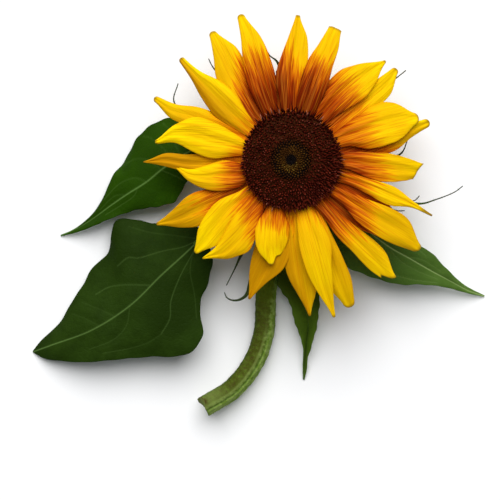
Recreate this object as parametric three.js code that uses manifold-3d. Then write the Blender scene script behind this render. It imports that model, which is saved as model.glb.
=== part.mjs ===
// A cut sunflower that lies on a flat surface with its face up: stem, head back with bracts,
// ray florets, disc florets, centre buds and four leaves. Millimetres, +Z up.
// The head's axis is the working Z axis; the finished group is moved so that the flower's box
// stands centred on the origin with its lowest point at zero.

import * as THREE from "three";
import { mergeVertices } from "three/addons/utils/BufferGeometryUtils.js";
import Module from "manifold-3d";

const wasm = await Module();
wasm.setup();

// Driving dimensions

const CLEARANCE = 0.3; // gap between pieces that touch
const BLADE = 1.0; // upright thickness of petals, bracts and leaves
const LIE = BLADE / 2; // lowest middle height of a blade that lies on the surface

const STEM_RADIUS = 5.3;
const STEM_NECK_RADIUS = 6.2;
const STEM_NECK_LATE = 6; // the higher, the shorter the stretch over which the stem widens
const STEM_RIBS = 7;
const STEM_RIB_DEPTH = 0.25;
const STEM_ROUTE = [
  [-44.1, -125.6, 11.5],
  [-29.4, -116.5, 9.2],
  [-18.4, -102.4, 7],
  [-13.2, -86.8, 5.6],
  [-12.3, -70, 5.2],
  [-10.5, -50, 5.2],
  [-6.5, -30, 6.2],
  [-2, -12, 12],
  [0, -1, 20],
  [0, 0, 27],
]; // cut end to neck top, the centre line

const HEAD_BACK = 27; // height of the neck's top, where the head back begins
const LEDGE_HEIGHT = 39.5; // shelf that carries the ray florets
const LEDGE_RADIUS = 27;
const BOSS_RADIUS = 19.2; // middle of the head back, which carries the disc
const BOSS_HEIGHT = 43;
const DISH = [
  [STEM_NECK_RADIUS + 0.6, 27.3],
  [10, 29.5],
  [17, 31.9],
  [23.5, 33.7],
  [LEDGE_RADIUS, 36.9],
  [LEDGE_RADIUS - 0.4, LEDGE_HEIGHT],
]; // underside of the head back, radius and height from the neck out to the shelf's edge

const RAY_RING_INNER = BOSS_RADIUS + CLEARANCE;
const RAY_RING_OUTER = 25.2;
const RAY_ROOT_RADIUS = 20.6;
const RAY_ROOT_HALF = 3; // half width of a ray floret where it starts
const RAY_LAYERS = [40.7, 41.5, 42.3]; // root heights, outer whorl to inner
const RAY_ARCH = 1.3; // how far a ray floret of the outer whorl arches up, the next ones twice and thrice
const RAY_LEAN = 0.22; // steepest lean to one side
const RIDGE_RISE = 0.55; // height of the two long ridges
const RIDGE_START = 0.25; // share of the length over which the ridges rise
const RIDGE_FADE = 0.6; // share of their height that they lose towards the tip
const END_REACH = 4; // the higher, the shorter the stretch over which an end takes its shape
const TIP_PACKING = 1.2; // the higher, the closer the facets stand towards a tip

const DISC_RADIUS = 26;
const DISC_RIM_HEIGHT = 46.2;
const DISC_DOME = 4.6; // how far the disc's middle stands above its rim
const CENTRE_RADIUS = 10;
const DISC_FOOT_RADIUS = BOSS_RADIUS + 2; // where the disc's underside leaves the head back
const DISC_UNDER_RADIUS = DISC_RADIUS - 0.6;
const DISC_UNDER_RISE = 1.8; // how far the underside rises from its foot to the rim
const FLORET_RISE = 0.9;
const FLORET_DIP = 0.4; // depth between florets, as a share of their rise
const RIM_LEAN = 1.1; // how far the outermost florets lean out
const BUD_RISE = 0.55;
const DISC_SPIRALS = 27; // florets round one row of the disc
const CENTRE_SPIRALS = 13;

// Ray florets: the direction of root and tip in degrees, the tip's reach from the head's axis, the
// whorl, how far the tip droops, and how far the left and right edge stand off the line from root
// to tip at fifths of the way. Ends are round, save those that list how far they fall short of the
// reach at quarters of the way from the right edge to the left.
const RAYS = [
  { from: 113, to: 109, reach: 78, whorl: 2, drop: 3, left: [5, 6.5, 5, 2.8, 1.8], right: [5.5, 8.5, 8.5, 6.5, 2] },
  { from: 128, to: 121.5, reach: 76.5, whorl: 0, drop: 4, left: [6, 7.5, 8, 4.2, 1.8], right: [4, 7, 8.5, 8, 2.4] },
  { from: 144, to: 137, reach: 76, whorl: 1, drop: 4, left: [4.5, 6.5, 5, 2.5, 1.5], right: [5.5, 8.5, 7.5, 3.5, 1.5] },
  { from: 153, to: 155, reach: 76, whorl: 0, drop: 6, left: [4, 6.5, 7, 6.5, 2], right: [3, 4.5, 4, 1, 1] },
  { from: 166, to: 172.5, reach: 69, whorl: 2, drop: 4, left: [5, 7, 4.5, 0.2, 0.5], right: [7, 11, 13, 9, 1.5] },
  { from: 182, to: 180.3, reach: 74.5, whorl: 0, drop: 7, left: [3.5, 5.5, 4.5, 2, 0.3], right: [3.5, 4.5, 4, 4.5, 0.3] },
  { from: 198, to: 183, reach: 58.5, whorl: 2, drop: 5, left: [6.5, 8, 7.5, 5, 0.5], right: [6.5, 7.5, 4.5, 1.2, 1.2] },
  { from: 207, to: 205.2, reach: 75, whorl: 0, drop: 7, left: [7, 9.5, 10, 6.5, 1], right: [3, 5.5, 7, 3.5, 0.7] },
  { from: 218, to: 224, reach: 67, whorl: 1, drop: 6, left: [4, 4.5, 6, 6, 1.5], right: [4.5, 8, 8.5, 6, 1.5] },
  { from: 234, to: 228, reach: 66.5, whorl: 2, drop: 6, left: [5, 10, 12.5, 8, 0.4], right: [6, 5.5, 3, 0.3, 0.4] },
  {
    from: 246, to: 259.8, reach: 53.5, whorl: 2, drop: 2,
    left: [7, 10, 10, 7, 5.5], right: [3, 6.5, 7, 5.5, 1.5], end: [0.8, 0.2, 4, 5, 6.5],
  },
  { from: 264, to: 253.2, reach: 73, whorl: 0, drop: 7, left: [6, 9, 8.5, 3.5, 0.7], right: [7, 9.5, 8.8, 6, 0.7] },
  { from: 273, to: 277.3, reach: 79, whorl: 0, drop: 6, left: [2.5, 5.5, 7, 5.5, 0.4], right: [5, 7, 7.5, 4, 0.8] },
  { from: 285, to: 285.6, reach: 82, whorl: 2, drop: 4, left: [6, 8.5, 5.5, 3, 0.8], right: [5.5, 7.5, 7, 4, 0.8] },
  { from: 297, to: 292.2, reach: 80, whorl: 0, drop: 7, left: [2.5, 3, 4, 4.5, 3], right: [5, 7.5, 8.5, 7.5, 3] },
  {
    from: 302, to: 311.7, reach: 79.5, whorl: 1, drop: 5,
    left: [5, 6.5, 8, 7.5, 1], right: [2.5, 3.5, 3.5, 4.5, 4], end: [6, 6.5, 2.5, 0.5, 0],
  },
  { from: 316, to: 320, reach: 58, whorl: 0, drop: 5, left: [4, 5, 4.5, 3, 1], right: [4, 5, 4.5, 3, 1] },
  {
    from: 322.5, to: 326, reach: 79, whorl: 2, drop: 4,
    left: [5, 7, 9.5, 9, 1.5], right: [2, 5, 6, 5, 3], end: [2, 0.7, 0, 0, 0.5],
  },
  { from: 341, to: 338.8, reach: 76.5, whorl: 1, drop: 3, left: [4, 5, 5.5, 2.7, 0.4], right: [2, 3, 4, 0.7, 0.4] },
  { from: 336, to: 333, reach: 60, whorl: 0, drop: 5, left: [4, 5.5, 5, 3, 1], right: [4, 5.5, 5, 3, 1] },
  { from: 350, to: 349, reach: 50, whorl: 0, drop: 4, left: [4, 5, 4.5, 3, 1], right: [4, 5, 4.5, 3, 1] },
  {
    from: 0, to: -2.5, reach: 67, whorl: 1, drop: 4,
    left: [4.5, 4.8, 5, 3.5, 1.5], right: [4.5, 8, 9.8, 8.5, 7], end: [4.5, 3.5, 2.7, 1.5, 0],
  },
  { from: 10, to: 15.5, reach: 73, whorl: 0, drop: 5, left: [4.5, 5, 5, 4, 2.5], right: [4, 6.6, 7.2, 3.6, 2] },
  { from: 22, to: 18, reach: 68, whorl: 2, drop: 3, left: [6.5, 9.5, 12, 11, 4], right: [4, 8.5, 9, 7.5, 2.5] },
  { from: 39, to: 40.8, reach: 71, whorl: 0, drop: 5, left: [5, 6, 4.5, 3, 2], right: [5, 7, 7.5, 7, 2] },
  { from: 55, to: 46.2, reach: 69.5, whorl: 1, drop: 4, left: [7, 9.8, 10, 6, 1], right: [4.5, 6.8, 8, 5.5, 0.5] },
  {
    from: 74, to: 70.5, reach: 70.5, whorl: 2, drop: 3,
    left: [6, 7.2, 7.6, 5.5, 4.3], right: [5.5, 6.4, 5.6, 4.7, 2.4], end: [0.3, 0, 0, 0, 0.5],
  },
  {
    from: 92, to: 87.3, reach: 73.5, whorl: 1, drop: 3,
    left: [5, 7.5, 5.5, 2.8, 0.8], right: [6, 7.2, 8.2, 6.5, 1.3], end: [0.2, 0, 0, 0, 0.2],
  },
  { from: 102, to: 99, reach: 44, whorl: 0, drop: 2, left: [4, 5, 4.5, 3, 1], right: [4, 5, 4.5, 3, 1] },
];

// Bracts of the head back: the direction of the root in degrees, the level route from there to the
// tip, and the tip's height. The long-tipped ones are listed, and a ring of shorter ones stands
// between them.
const LONG_BRACTS = [
  { from: 90, path: [[-6.5, 50], [-10.5, 53.5], [-12, 56]], tipHeight: 33 },
  { from: 130, path: [[-39.5, 48], [-41.5, 52]], tipHeight: 32 },
  { from: 164, path: [[-45, 18], [-59, 30], [-57, 39.5]], tipHeight: 31 },
  { from: 242, path: [[-25.5, -48.5], [-28, -54], [-32.5, -63]], tipHeight: 27 },
  {
    from: 253.5,
    path: [[-20.5, -63], [-21.5, -66.5], [-23.5, -69], [-26.5, -70.5], [-30, -70.5], [-32.5, -69], [-33.5, -66.5]],
    tipHeight: 27,
  },
  { from: 333, path: [[54, -25], [58, -25]], tipHeight: 30 },
  { from: 338, path: [[62.5, -20], [65.5, -17.5]], tipHeight: 31 },
  { from: 334, path: [[65, -21.5], [73.5, -19.5], [83.5, -15.5], [87.5, -12.5]], tipHeight: 31 },
  { from: -7, path: [[55.5, 3.5], [59.5, 11]], tipHeight: 32 },
  { from: 38, path: [[56, 44], [58.5, 46]], tipHeight: 33 },
];
const SHORT_BRACTS = 14;
const SHORT_BRACT_REACH = 47;
const SHORT_BRACT_VARY = 3; // most that a short bract's reach differs
const SHORT_BRACT_SWING = 4; // most degrees that a short bract turns aside
const SHORT_BRACT_HEIGHT = 31;
const BRACT_HALF = 4; // half width where a bract is widest
const BRACT_TIP_HALF = 0.4;
const BRACT_ROOT_SHARE = 0.75; // width at the root, as a share of the widest
const BRACT_WIDEST = 0.25; // share of the length at which a bract is widest
const BRACT_TAPER = 1.7; // the higher, the longer and thinner the tip
const BRACT_ROOT_RADIUS = 20;
const BRACT_ROOT_HEIGHT = 35.2;
const BRACT_SAG = 1.6;
const BRACT_CUP = 0.5; // how far the edges stand above the middle

// Leaves: the midrib from blade base to tip, the points of the left and right edge between base
// and tip, and the stalk's route from inside the stem to the blade's base. Left and right are
// those of the way to the tip.
const LEAVES = {
  leaf_upper_left: {
    colour: 0x2c5f14,
    rib: [
      [-46, 8, 20.5],
      [-56, 3, 20],
      [-66, -4, 19],
      [-73.5, -10, 17],
      [-84, -16.5, 13],
      [-93, -22.5, 9],
      [-100, -27.5, 6],
      [-108, -32.5, 3],
      [-119, -37.5, LIE],
    ],
    left: [
      [-45.5, 1, 19],
      [-50, -6, 17.5],
      [-55, -12.5, 16.5],
      [-59, -19.5, 16],
      [-66, -22, 15.5],
      [-79, -24, 14.5],
      [-88.5, -27, 13],
      [-95, -29.5, 11.5],
      [-102, -32.5, 8.5],
      [-110.5, -35.5, 4.5],
    ],
    right: [
      [-46.5, 14, 17],
      [-50.5, 19.5, 11],
      [-56, 22.5, 4],
      [-61, 23.5, LIE],
      [-68.5, 21.5, LIE],
      [-78, 14, 2.5],
      [-85.5, 0.5, 5],
      [-91.5, -7, 6],
      [-95.5, -16.5, 6],
      [-101, -25.5, 4.5],
      [-111.5, -34.5, 2],
    ],
    stalk: [[-2, -9, 14], [-22, -1, 18], [-36, 6, 20.5]],
    wave: 0.7,
  },
  leaf_lower_left: {
    colour: 0x1e4a16,
    rib: [
      [-46, -39.5, 20],
      [-55, -48, 20.5],
      [-66, -58, 20],
      [-82, -73.5, 19],
      [-101.5, -86, 15],
      [-122.5, -94, 7],
      [-133.5, -98, LIE],
    ],
    left: [
      [-42, -42, 19.5],
      [-40, -49.5, 19],
      [-42, -60.5, 18.5],
      [-46, -71, 18],
      [-46.5, -76, 18],
      [-45, -84.5, 18],
      [-45, -88, 18],
      [-48.5, -95, 17.5],
      [-56, -99, 17.5],
      [-70.5, -99.5, 17.5],
      [-83.5, -100.5, 16.5],
      [-107, -102.5, 13],
      [-118, -102, 9.5],
      [-127, -101, 4.5],
    ],
    right: [
      [-46, -34.5, 18],
      [-56.5, -30.5, 15],
      [-68.5, -31.5, 12],
      [-77.5, -30, 11],
      [-86, -29, 10],
      [-90.5, -31.5, 9],
      [-92.5, -42.5, 8],
      [-94.5, -48, 8],
      [-101.5, -54, 8],
      [-106.5, -63, 8],
      [-113, -73, 7],
      [-119, -83, 5],
      [-129, -92.5, 2],
    ],
    stalk: [[-7, -34, 6.5], [-24, -37, 13], [-38, -39, 18]],
    wave: 1.0,
  },
  leaf_lower: {
    colour: 0x173c0e,
    rib: [
      [-0.5, -51, 8],
      [1, -63, 8],
      [6, -71, 8],
      [9.5, -81, 7.5],
      [9, -91.5, 5.5],
      [8, -102, 3],
      [7.5, -112.5, LIE],
    ],
    left: [
      [6, -54, 12],
      [12.5, -61.5, 14],
      [15, -70.5, 14],
      [14.5, -77, 13],
      [13.5, -85.5, 11],
      [12, -90.5, 9],
      [10.5, -96.5, 7],
      [9, -101, 5],
      [8.8, -106, 3],
    ],
    right: [
      [-5.5, -56.5, 10],
      [-6, -62.5, 11],
      [-2.5, -68, 11],
      [0, -71.5, 12],
      [1.5, -76, 12.5],
      [2.5, -81, 12],
      [6, -90.5, 9],
      [7.5, -97, 6.5],
      [7.3, -103, 4],
      [7.3, -108.5, 2],
    ],
    stalk: [[-9.5, -42, 6.5], [-3.5, -44, 8]],
    wave: 0.3,
  },
  leaf_right: {
    colour: 0x35661f,
    rib: [
      [19.5, -18, 14],
      [32, -28.5, 17],
      [50.5, -43, 17],
      [62, -49.5, 15],
      [72.5, -55.5, 12],
      [83, -61, 8],
      [92.5, -66, 4],
      [101.5, -69, LIE],
    ],
    left: [
      [28.5, -14, 16],
      [41, -21, 17],
      [54, -31.5, 16],
      [63.5, -40, 14],
      [67.5, -43.5, 13],
      [74, -47.5, 11],
      [76.5, -50.5, 10],
      [83, -57, 8],
      [88.5, -62, 5],
      [94, -65.5, 3],
    ],
    right: [
      [16.5, -27, 13],
      [19.5, -40, 14.5],
      [24.5, -48.5, 15.5],
      [28, -52.5, 16],
      [36.5, -56.5, 16],
      [46.5, -60, 15.5],
      [57, -62.5, 15],
      [67.5, -62.5, 14],
      [78, -63.5, 11],
      [88.5, -66, 6.5],
      [94, -67.5, 4],
    ],
    stalk: [[-3, -19, 8.5], [8, -18.5, 11]],
    wave: 0.8,
  },
};
const LEAF_TOOTH = 0.4; // how far each second corner of an edge stands out
const LEAF_CROWN = 0.8; // how far each half bulges between midrib and edge
const LEAF_WAVES = 3; // waves of each edge
const LEAF_RIM_HALF = 0.4; // keeps the blade from closing to nothing at base and tip
const STALK_RADIUS = 2.2;
const STALK_END_SHARE = 0.5; // radius at the end of the stalk, as a share of the full one

// Facets

const STEM_SIDES = 14;
const STEM_STEPS = 30;
const STALK_SIDES = 6;
const STALK_STEPS = 7;
const RAY_ROWS = 9;
const RAY_COLUMNS = 4;
const LONG_BRACT_ROWS = 10;
const SHORT_BRACT_ROWS = 5;
const BRACT_COLUMNS = 2;
const LEAF_ROWS = 24;
const LEAF_COLUMNS = 6;
const HEAD_SIDES = 36;
const DISC_ROWS = 9;
const CENTRE_ROWS = 5;

const COLOURS = {
  stem: 0x6f8a3c,
  receptacle: 0x3f6a26,
  ray_florets: 0xf5b800,
  disc_florets: 0x2e0e0c,
  centre_buds: 0x2b2410,
};

// Arithmetic

const mix = (a, b, share) => a + (b - a) * share;
const radians = (degrees) => (degrees * Math.PI) / 180;
const around = (angle, radius) => [radius * Math.cos(angle), radius * Math.sin(angle)];
const smoothCurve = (points) => new THREE.CatmullRomCurve3(points.map((point) => new THREE.Vector3(...point)));
const GOLDEN_ANGLE = Math.PI * (3 - Math.sqrt(5)); // step that makes repeats differ evenly

// A smooth value at a share of the way through a list of equally spaced values.
function along(values, share) {
  const place = Math.min(share, 0.9999) * (values.length - 1);
  const i = Math.floor(place);
  const t = place - i;
  const before = values[Math.max(i - 1, 0)];
  const after = values[Math.min(i + 2, values.length - 1)];
  const start = values[i];
  const end = values[i + 1];
  const startSlope = (end - before) / 2;
  const endSlope = (after - start) / 2;
  const bend = 3 * (end - start) - 2 * startSlope - endSlope;
  const twist = 2 * (start - end) + startSlope + endSlope;
  return start + startSlope * t + bend * t * t + twist * t * t * t;
}

// Solids

// One closed body's geometry: shared corners merged and empty triangles dropped.
function closedGeometry(geometry) {
  geometry.deleteAttribute("normal");
  geometry.deleteAttribute("uv");
  const merged = mergeVertices(geometry, 1e-4);
  const corners = merged.index.array;
  const kept = [];
  for (let i = 0; i < corners.length; i += 3) {
    const [a, b, c] = corners.slice(i, i + 3);
    if (a !== b && b !== c && c !== a) kept.push(a, b, c);
  }
  merged.setIndex(kept);
  return merged;
}

function solidOf(geometry) {
  const vertProperties = new Float32Array(geometry.attributes.position.array);
  const triVerts = new Uint32Array(geometry.index.array);
  return new wasm.Manifold(new wasm.Mesh({ numProp: 3, vertProperties, triVerts }));
}

function geometryOf(solid) {
  const mesh = solid.getMesh();
  const geometry = new THREE.BufferGeometry();
  geometry.setAttribute("position", new THREE.BufferAttribute(new Float32Array(mesh.vertProperties), 3));
  geometry.setIndex(new THREE.BufferAttribute(new Uint32Array(mesh.triVerts), 1));
  return geometry;
}

// Solids joined into one body; a pocket that the joining seals is filled, a loose scrap is dropped.
function fused(solids) {
  const whole = solids.reduce((joined, solid) => joined.add(solid));
  const shells = whole.decompose();
  return shells.reduce((largest, shell) => (shell.volume() > largest.volume() ? shell : largest));
}

// A thin blade: a grid of middle points with equal corners above and below them, so that both
// faces are split into triangles alike. place(u, v) gives the middle, u from 0 to 1 along the
// blade and v from -1 to 1 across it, counted to the left of the way to the tip.
function blade(rows, columns, place) {
  const width = columns + 1;
  const count = (rows + 1) * width;
  const positions = [];
  for (const side of [BLADE / 2, -BLADE / 2]) {
    for (let i = 0; i <= rows; i++) {
      for (let j = 0; j <= columns; j++) {
        const middle = place(i / rows, (2 * j) / columns - 1);
        positions.push(middle.x, middle.y, middle.z + side);
      }
    }
  }
  const corners = [];
  for (let i = 0; i < rows; i++) {
    for (let j = 0; j < columns; j++) {
      const a = i * width + j;
      const b = a + 1;
      const c = a + width;
      const d = c + 1;
      const mirrored = j >= columns / 2;
      const pair = mirrored ? [a, d, b, a, c, d] : [a, c, b, b, c, d];
      const below = pair.map((corner) => corner + count);
      corners.push(...pair, ...below.reverse());
    }
  }
  const rim = [];
  for (let j = 0; j < columns; j++) rim.push(j);
  for (let i = 0; i < rows; i++) rim.push(i * width + columns);
  for (let j = columns; j > 0; j--) rim.push(rows * width + j);
  for (let i = rows; i > 0; i--) rim.push(i * width);
  rim.forEach((a, step) => {
    const b = rim[(step + 1) % rim.length];
    corners.push(a, b, b + count, a, b + count, a + count);
  });
  const geometry = new THREE.BufferGeometry();
  geometry.setAttribute("position", new THREE.Float32BufferAttribute(positions, 3));
  geometry.setIndex(corners);
  return geometry;
}

// A rod with rounded or ribbed section that follows a curve; radiusAt(share, angle). It is cut
// level where it meets the surface and at the height of its ceiling.
function rod(curve, sides, steps, radiusAt, ceiling = Infinity) {
  const geometry = new THREE.CylinderGeometry(1, 1, 1, sides, steps);
  const corner = new THREE.Vector3();
  const position = geometry.attributes.position;
  for (let i = 0; i < position.count; i++) {
    corner.fromBufferAttribute(position, i);
    const share = corner.y + 0.5;
    const angle = Math.atan2(corner.z, corner.x);
    const radius = Math.hypot(corner.x, corner.z) * radiusAt(share, angle);
    const ahead = curve.getTangentAt(share);
    const level = new THREE.Vector3(ahead.y, -ahead.x, 0).normalize();
    if (share > 0.5) level.lerp(levelAt(curve), (share - 0.5) * 2).normalize();
    level.addScaledVector(ahead, -level.dot(ahead)).normalize();
    const upright = new THREE.Vector3().crossVectors(level, ahead);
    const middle = curve.getPointAt(share);
    middle.addScaledVector(level, Math.cos(angle) * radius);
    middle.addScaledVector(upright, Math.sin(angle) * radius);
    position.setXYZ(i, middle.x, middle.y, THREE.MathUtils.clamp(middle.z, 0, ceiling));
  }
  return closedGeometry(geometry);
}

// The level direction across a curve at its half, which keeps a rod from turning as it rises.
function levelAt(curve) {
  const ahead = curve.getTangentAt(0.5);
  return new THREE.Vector3(ahead.y, -ahead.x, 0).normalize();
}

// A turned body whose skin is pushed in and out by relief(row, side), which gives a radial and
// an upright offset for a point of the profile.
function turned(profile, sides, relief) {
  const points = profile.map(([radius, height]) => new THREE.Vector2(radius, height));
  const geometry = new THREE.LatheGeometry(points, sides);
  geometry.rotateX(Math.PI / 2);
  const position = geometry.attributes.position;
  for (let i = 0; i < position.count; i++) {
    const row = i % points.length;
    const side = Math.floor(i / points.length) % sides;
    const [out, up] = relief ? relief(row, side) : [0, 0];
    const radius = Math.hypot(position.getX(i), position.getY(i));
    const stretch = radius > 0 ? (radius + out) / radius : 1;
    position.setXYZ(i, position.getX(i) * stretch, position.getY(i) * stretch, position.getZ(i) + up);
  }
  return closedGeometry(geometry);
}

// Ray florets

// How far the end of a ray floret falls short of its reach, across from -1 at the right edge.
function endGap(ray, across) {
  if (ray.end) return along(ray.end, (across + 1) / 2);
  const half = (ray.left.at(-1) + ray.right.at(-1)) / 2;
  return half * (1 - Math.sqrt(1 - across * across));
}

function rayFloret(ray, index) {
  const swing = radians(ray.to - ray.from);
  const length = ray.reach - RAY_ROOT_RADIUS;
  const lean = RAY_LEAN * Math.sin(index * GOLDEN_ANGLE);
  const left = [RAY_ROOT_HALF, ...ray.left];
  const right = [RAY_ROOT_HALF, ...ray.right];
  const place = (step, across) => {
    const share = 1 - Math.pow(1 - step, TIP_PACKING);
    const radius = mix(RAY_ROOT_RADIUS, ray.reach, share);
    const angle = radians(ray.from) + swing * share;
    const heading = angle + Math.atan((swing / length) * radius);
    const aside = mix(-along(right, share), along(left, share), (across + 1) / 2);
    const gap = endGap(ray, across) * Math.pow(share, END_REACH);
    const ridges = -Math.cos(across * 2 * Math.PI) * Math.min(1, share / RIDGE_START) * (1 - share * RIDGE_FADE);
    const arch = RAY_ARCH * (1 + ray.whorl) * Math.sin(Math.PI * share);
    const height = RAY_LAYERS[ray.whorl] + arch - ray.drop * share * share;
    const x = radius * Math.cos(angle) - Math.sin(heading) * aside - Math.cos(heading) * gap;
    const y = radius * Math.sin(angle) + Math.cos(heading) * aside - Math.sin(heading) * gap;
    return new THREE.Vector3(x, y, height + RIDGE_RISE * ridges + lean * aside * share);
  };
  return blade(RAY_ROWS, RAY_COLUMNS, place);
}

function rayFlorets() {
  const top = BOSS_HEIGHT;
  const bottom = LEDGE_HEIGHT + CLEARANCE;
  const ring = turned(
    [
      [RAY_RING_INNER, bottom],
      [RAY_RING_OUTER, bottom],
      [RAY_RING_OUTER, top],
      [RAY_RING_INNER, top],
      [RAY_RING_INNER, bottom],
    ],
    HEAD_SIDES,
  );
  return geometryOf(fused([ring, ...RAYS.map(rayFloret)].map(solidOf)));
}

// Disc florets and centre buds

const discHeight = (radius) => DISC_RIM_HEIGHT + DISC_DOME * (1 - (radius / DISC_RADIUS) ** 2);

// Rows of a domed face between two radii, as profile points.
function domeRows(inner, outer, rows) {
  const points = [];
  for (let i = 0; i <= rows; i++) {
    const radius = mix(inner, outer, i / rows);
    points.push([radius, discHeight(radius)]);
  }
  return points;
}

// Floret tips stand on every second corner of the face, set off from row to row; those of the
// first row, the face's rim, also lean out.
function floretRelief(firstRow, lastRow, rise, lean) {
  return (row, side) => {
    if (row < firstRow || row > lastRow) return [0, 0];
    const tip = (row + side) % 2 === 0;
    return [tip && row === firstRow ? lean : 0, tip ? rise : -rise * FLORET_DIP];
  };
}

function discFlorets() {
  const base = BOSS_HEIGHT + CLEARANCE;
  const inner = CENTRE_RADIUS + CLEARANCE / 2;
  const foot = [[inner, base], [DISC_FOOT_RADIUS, base], [DISC_UNDER_RADIUS, base + DISC_UNDER_RISE]];
  const profile = [...foot, ...domeRows(inner, DISC_RADIUS, DISC_ROWS).reverse(), [inner, base]];
  const relief = floretRelief(foot.length, foot.length - 1 + DISC_ROWS, FLORET_RISE, RIM_LEAN);
  return turned(profile, DISC_SPIRALS * 2, relief);
}

function centreBuds() {
  const base = BOSS_HEIGHT + CLEARANCE;
  const outer = CENTRE_RADIUS - CLEARANCE / 2;
  const foot = [[0, base], [outer, base]];
  const profile = [...foot, ...domeRows(0, outer, CENTRE_ROWS).reverse()];
  const relief = floretRelief(foot.length + 1, foot.length - 1 + CENTRE_ROWS, BUD_RISE, 0);
  return turned(profile, CENTRE_SPIRALS * 2, relief);
}

// Head back with its bracts

function bract({ from, path, tipHeight }, rows) {
  const root = around(radians(from), BRACT_ROOT_RADIUS);
  const route = smoothCurve([root, ...path].map(([x, y]) => [x, y, 0]));
  const place = (share, across) => {
    const taper =
      share < BRACT_WIDEST
        ? mix(BRACT_ROOT_SHARE, 1, share / BRACT_WIDEST)
        : Math.pow((1 - share) / (1 - BRACT_WIDEST), BRACT_TAPER);
    const aside = (BRACT_HALF * taper + BRACT_TIP_HALF) * across;
    const sag = BRACT_SAG * Math.sin(Math.PI * share) - BRACT_CUP * Math.abs(across) * taper;
    const point = route.getPointAt(share);
    const ahead = route.getTangentAt(share);
    const height = mix(BRACT_ROOT_HEIGHT, tipHeight, share) - sag;
    return new THREE.Vector3(point.x - ahead.y * aside, point.y + ahead.x * aside, height);
  };
  return blade(rows, BRACT_COLUMNS, place);
}

function shortBract(i) {
  const from = (i * 360) / SHORT_BRACTS;
  const turn = radians(from + SHORT_BRACT_SWING * Math.cos(i * GOLDEN_ANGLE));
  const reach = SHORT_BRACT_REACH + SHORT_BRACT_VARY * Math.sin(i * GOLDEN_ANGLE);
  const shape = { from, path: [around(turn, reach)], tipHeight: SHORT_BRACT_HEIGHT };
  return bract(shape, SHORT_BRACT_ROWS);
}

function receptacle() {
  const dish = turned(
    [
      [0, HEAD_BACK + CLEARANCE],
      ...DISH,
      [BOSS_RADIUS, LEDGE_HEIGHT],
      [BOSS_RADIUS, BOSS_HEIGHT],
      [0, BOSS_HEIGHT],
    ],
    HEAD_SIDES,
  );
  const bracts = LONG_BRACTS.map((shape) => bract(shape, LONG_BRACT_ROWS));
  for (let i = 0; i < SHORT_BRACTS; i++) bracts.push(shortBract(i));
  return geometryOf(fused([dish, ...bracts].map(solidOf)));
}

// Stem

const stemCurve = smoothCurve(STEM_ROUTE);

function stemBody(extra) {
  const radiusAt = (share, angle) => {
    const radius = mix(STEM_RADIUS, STEM_NECK_RADIUS, Math.pow(share, STEM_NECK_LATE));
    return radius + extra + STEM_RIB_DEPTH * Math.cos(STEM_RIBS * angle);
  };
  return rod(stemCurve, STEM_SIDES, STEM_STEPS, radiusAt, HEAD_BACK);
}

// Leaves

function leafBlade(leaf) {
  const rib = smoothCurve(leaf.rib);
  const base = leaf.rib[0];
  const tip = leaf.rib.at(-1);
  const edges = { left: smoothCurve([base, ...leaf.left, tip]), right: smoothCurve([base, ...leaf.right, tip]) };
  const place = (share, across) => {
    const side = across >= 0 ? "left" : "right";
    const out = Math.abs(across);
    const middle = rib.getPointAt(share);
    const ahead = rib.getTangentAt(share).setZ(0).normalize();
    const edge = edges[side].getPointAt(share);
    const away = edge.clone().sub(middle).setZ(0).normalize();
    const toothed = out === 1 && Math.round(share * LEAF_ROWS) % 2 === 1;
    if (toothed) edge.addScaledVector(away, LEAF_TOOTH * (1 - share));
    const wave = leaf.wave * out * out * Math.sin(share * LEAF_WAVES * 2 * Math.PI);
    const crown = LEAF_CROWN * Math.sin(Math.PI * out);
    const point = middle.lerp(edge, out);
    const x = point.x - ahead.y * LEAF_RIM_HALF * across;
    const y = point.y + ahead.x * LEAF_RIM_HALF * across;
    return new THREE.Vector3(x, y, Math.max(point.z + (wave + crown) * Math.sin(Math.PI * share), LIE));
  };
  return blade(LEAF_ROWS, LEAF_COLUMNS, place);
}

function leafStalk(leaf) {
  const curve = smoothCurve([...leaf.stalk, leaf.rib[0], leaf.rib[1]]);
  const radiusAt = (share) => STALK_RADIUS * mix(1, STALK_END_SHARE, share * share);
  return rod(curve, STALK_SIDES, STALK_STEPS, radiusAt);
}

function leaf(shape) {
  const stemRoom = solidOf(stemBody(CLEARANCE));
  const whole = solidOf(leafBlade(shape)).add(solidOf(leafStalk(shape)));
  return geometryOf(whole.subtract(stemRoom));
}

// The flower

function piece(name, geometry, colour) {
  const material = new THREE.MeshStandardMaterial({ color: colour, roughness: 0.6, metalness: 0 });
  const mesh = new THREE.Mesh(geometry, material);
  mesh.name = name;
  return mesh;
}

const sunflower = new THREE.Group();
sunflower.add(piece("stem", stemBody(0), COLOURS.stem));
sunflower.add(piece("receptacle", receptacle(), COLOURS.receptacle));
sunflower.add(piece("ray_florets", rayFlorets(), COLOURS.ray_florets));
sunflower.add(piece("disc_florets", discFlorets(), COLOURS.disc_florets));
sunflower.add(piece("centre_buds", centreBuds(), COLOURS.centre_buds));
for (const [name, shape] of Object.entries(LEAVES)) {
  sunflower.add(piece(name, leaf(shape), shape.colour));
}

const box = new THREE.Box3().setFromObject(sunflower);
const middle = box.getCenter(new THREE.Vector3());
sunflower.position.set(-middle.x, -middle.y, -box.min.z);

export default sunflower;
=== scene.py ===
# The looks of a cut sunflower that lies face up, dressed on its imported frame.
# Sizes are in millimetres about the head's axis, as in the part's source, and become metres in
# the frame when a mesh is made.
import math

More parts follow.
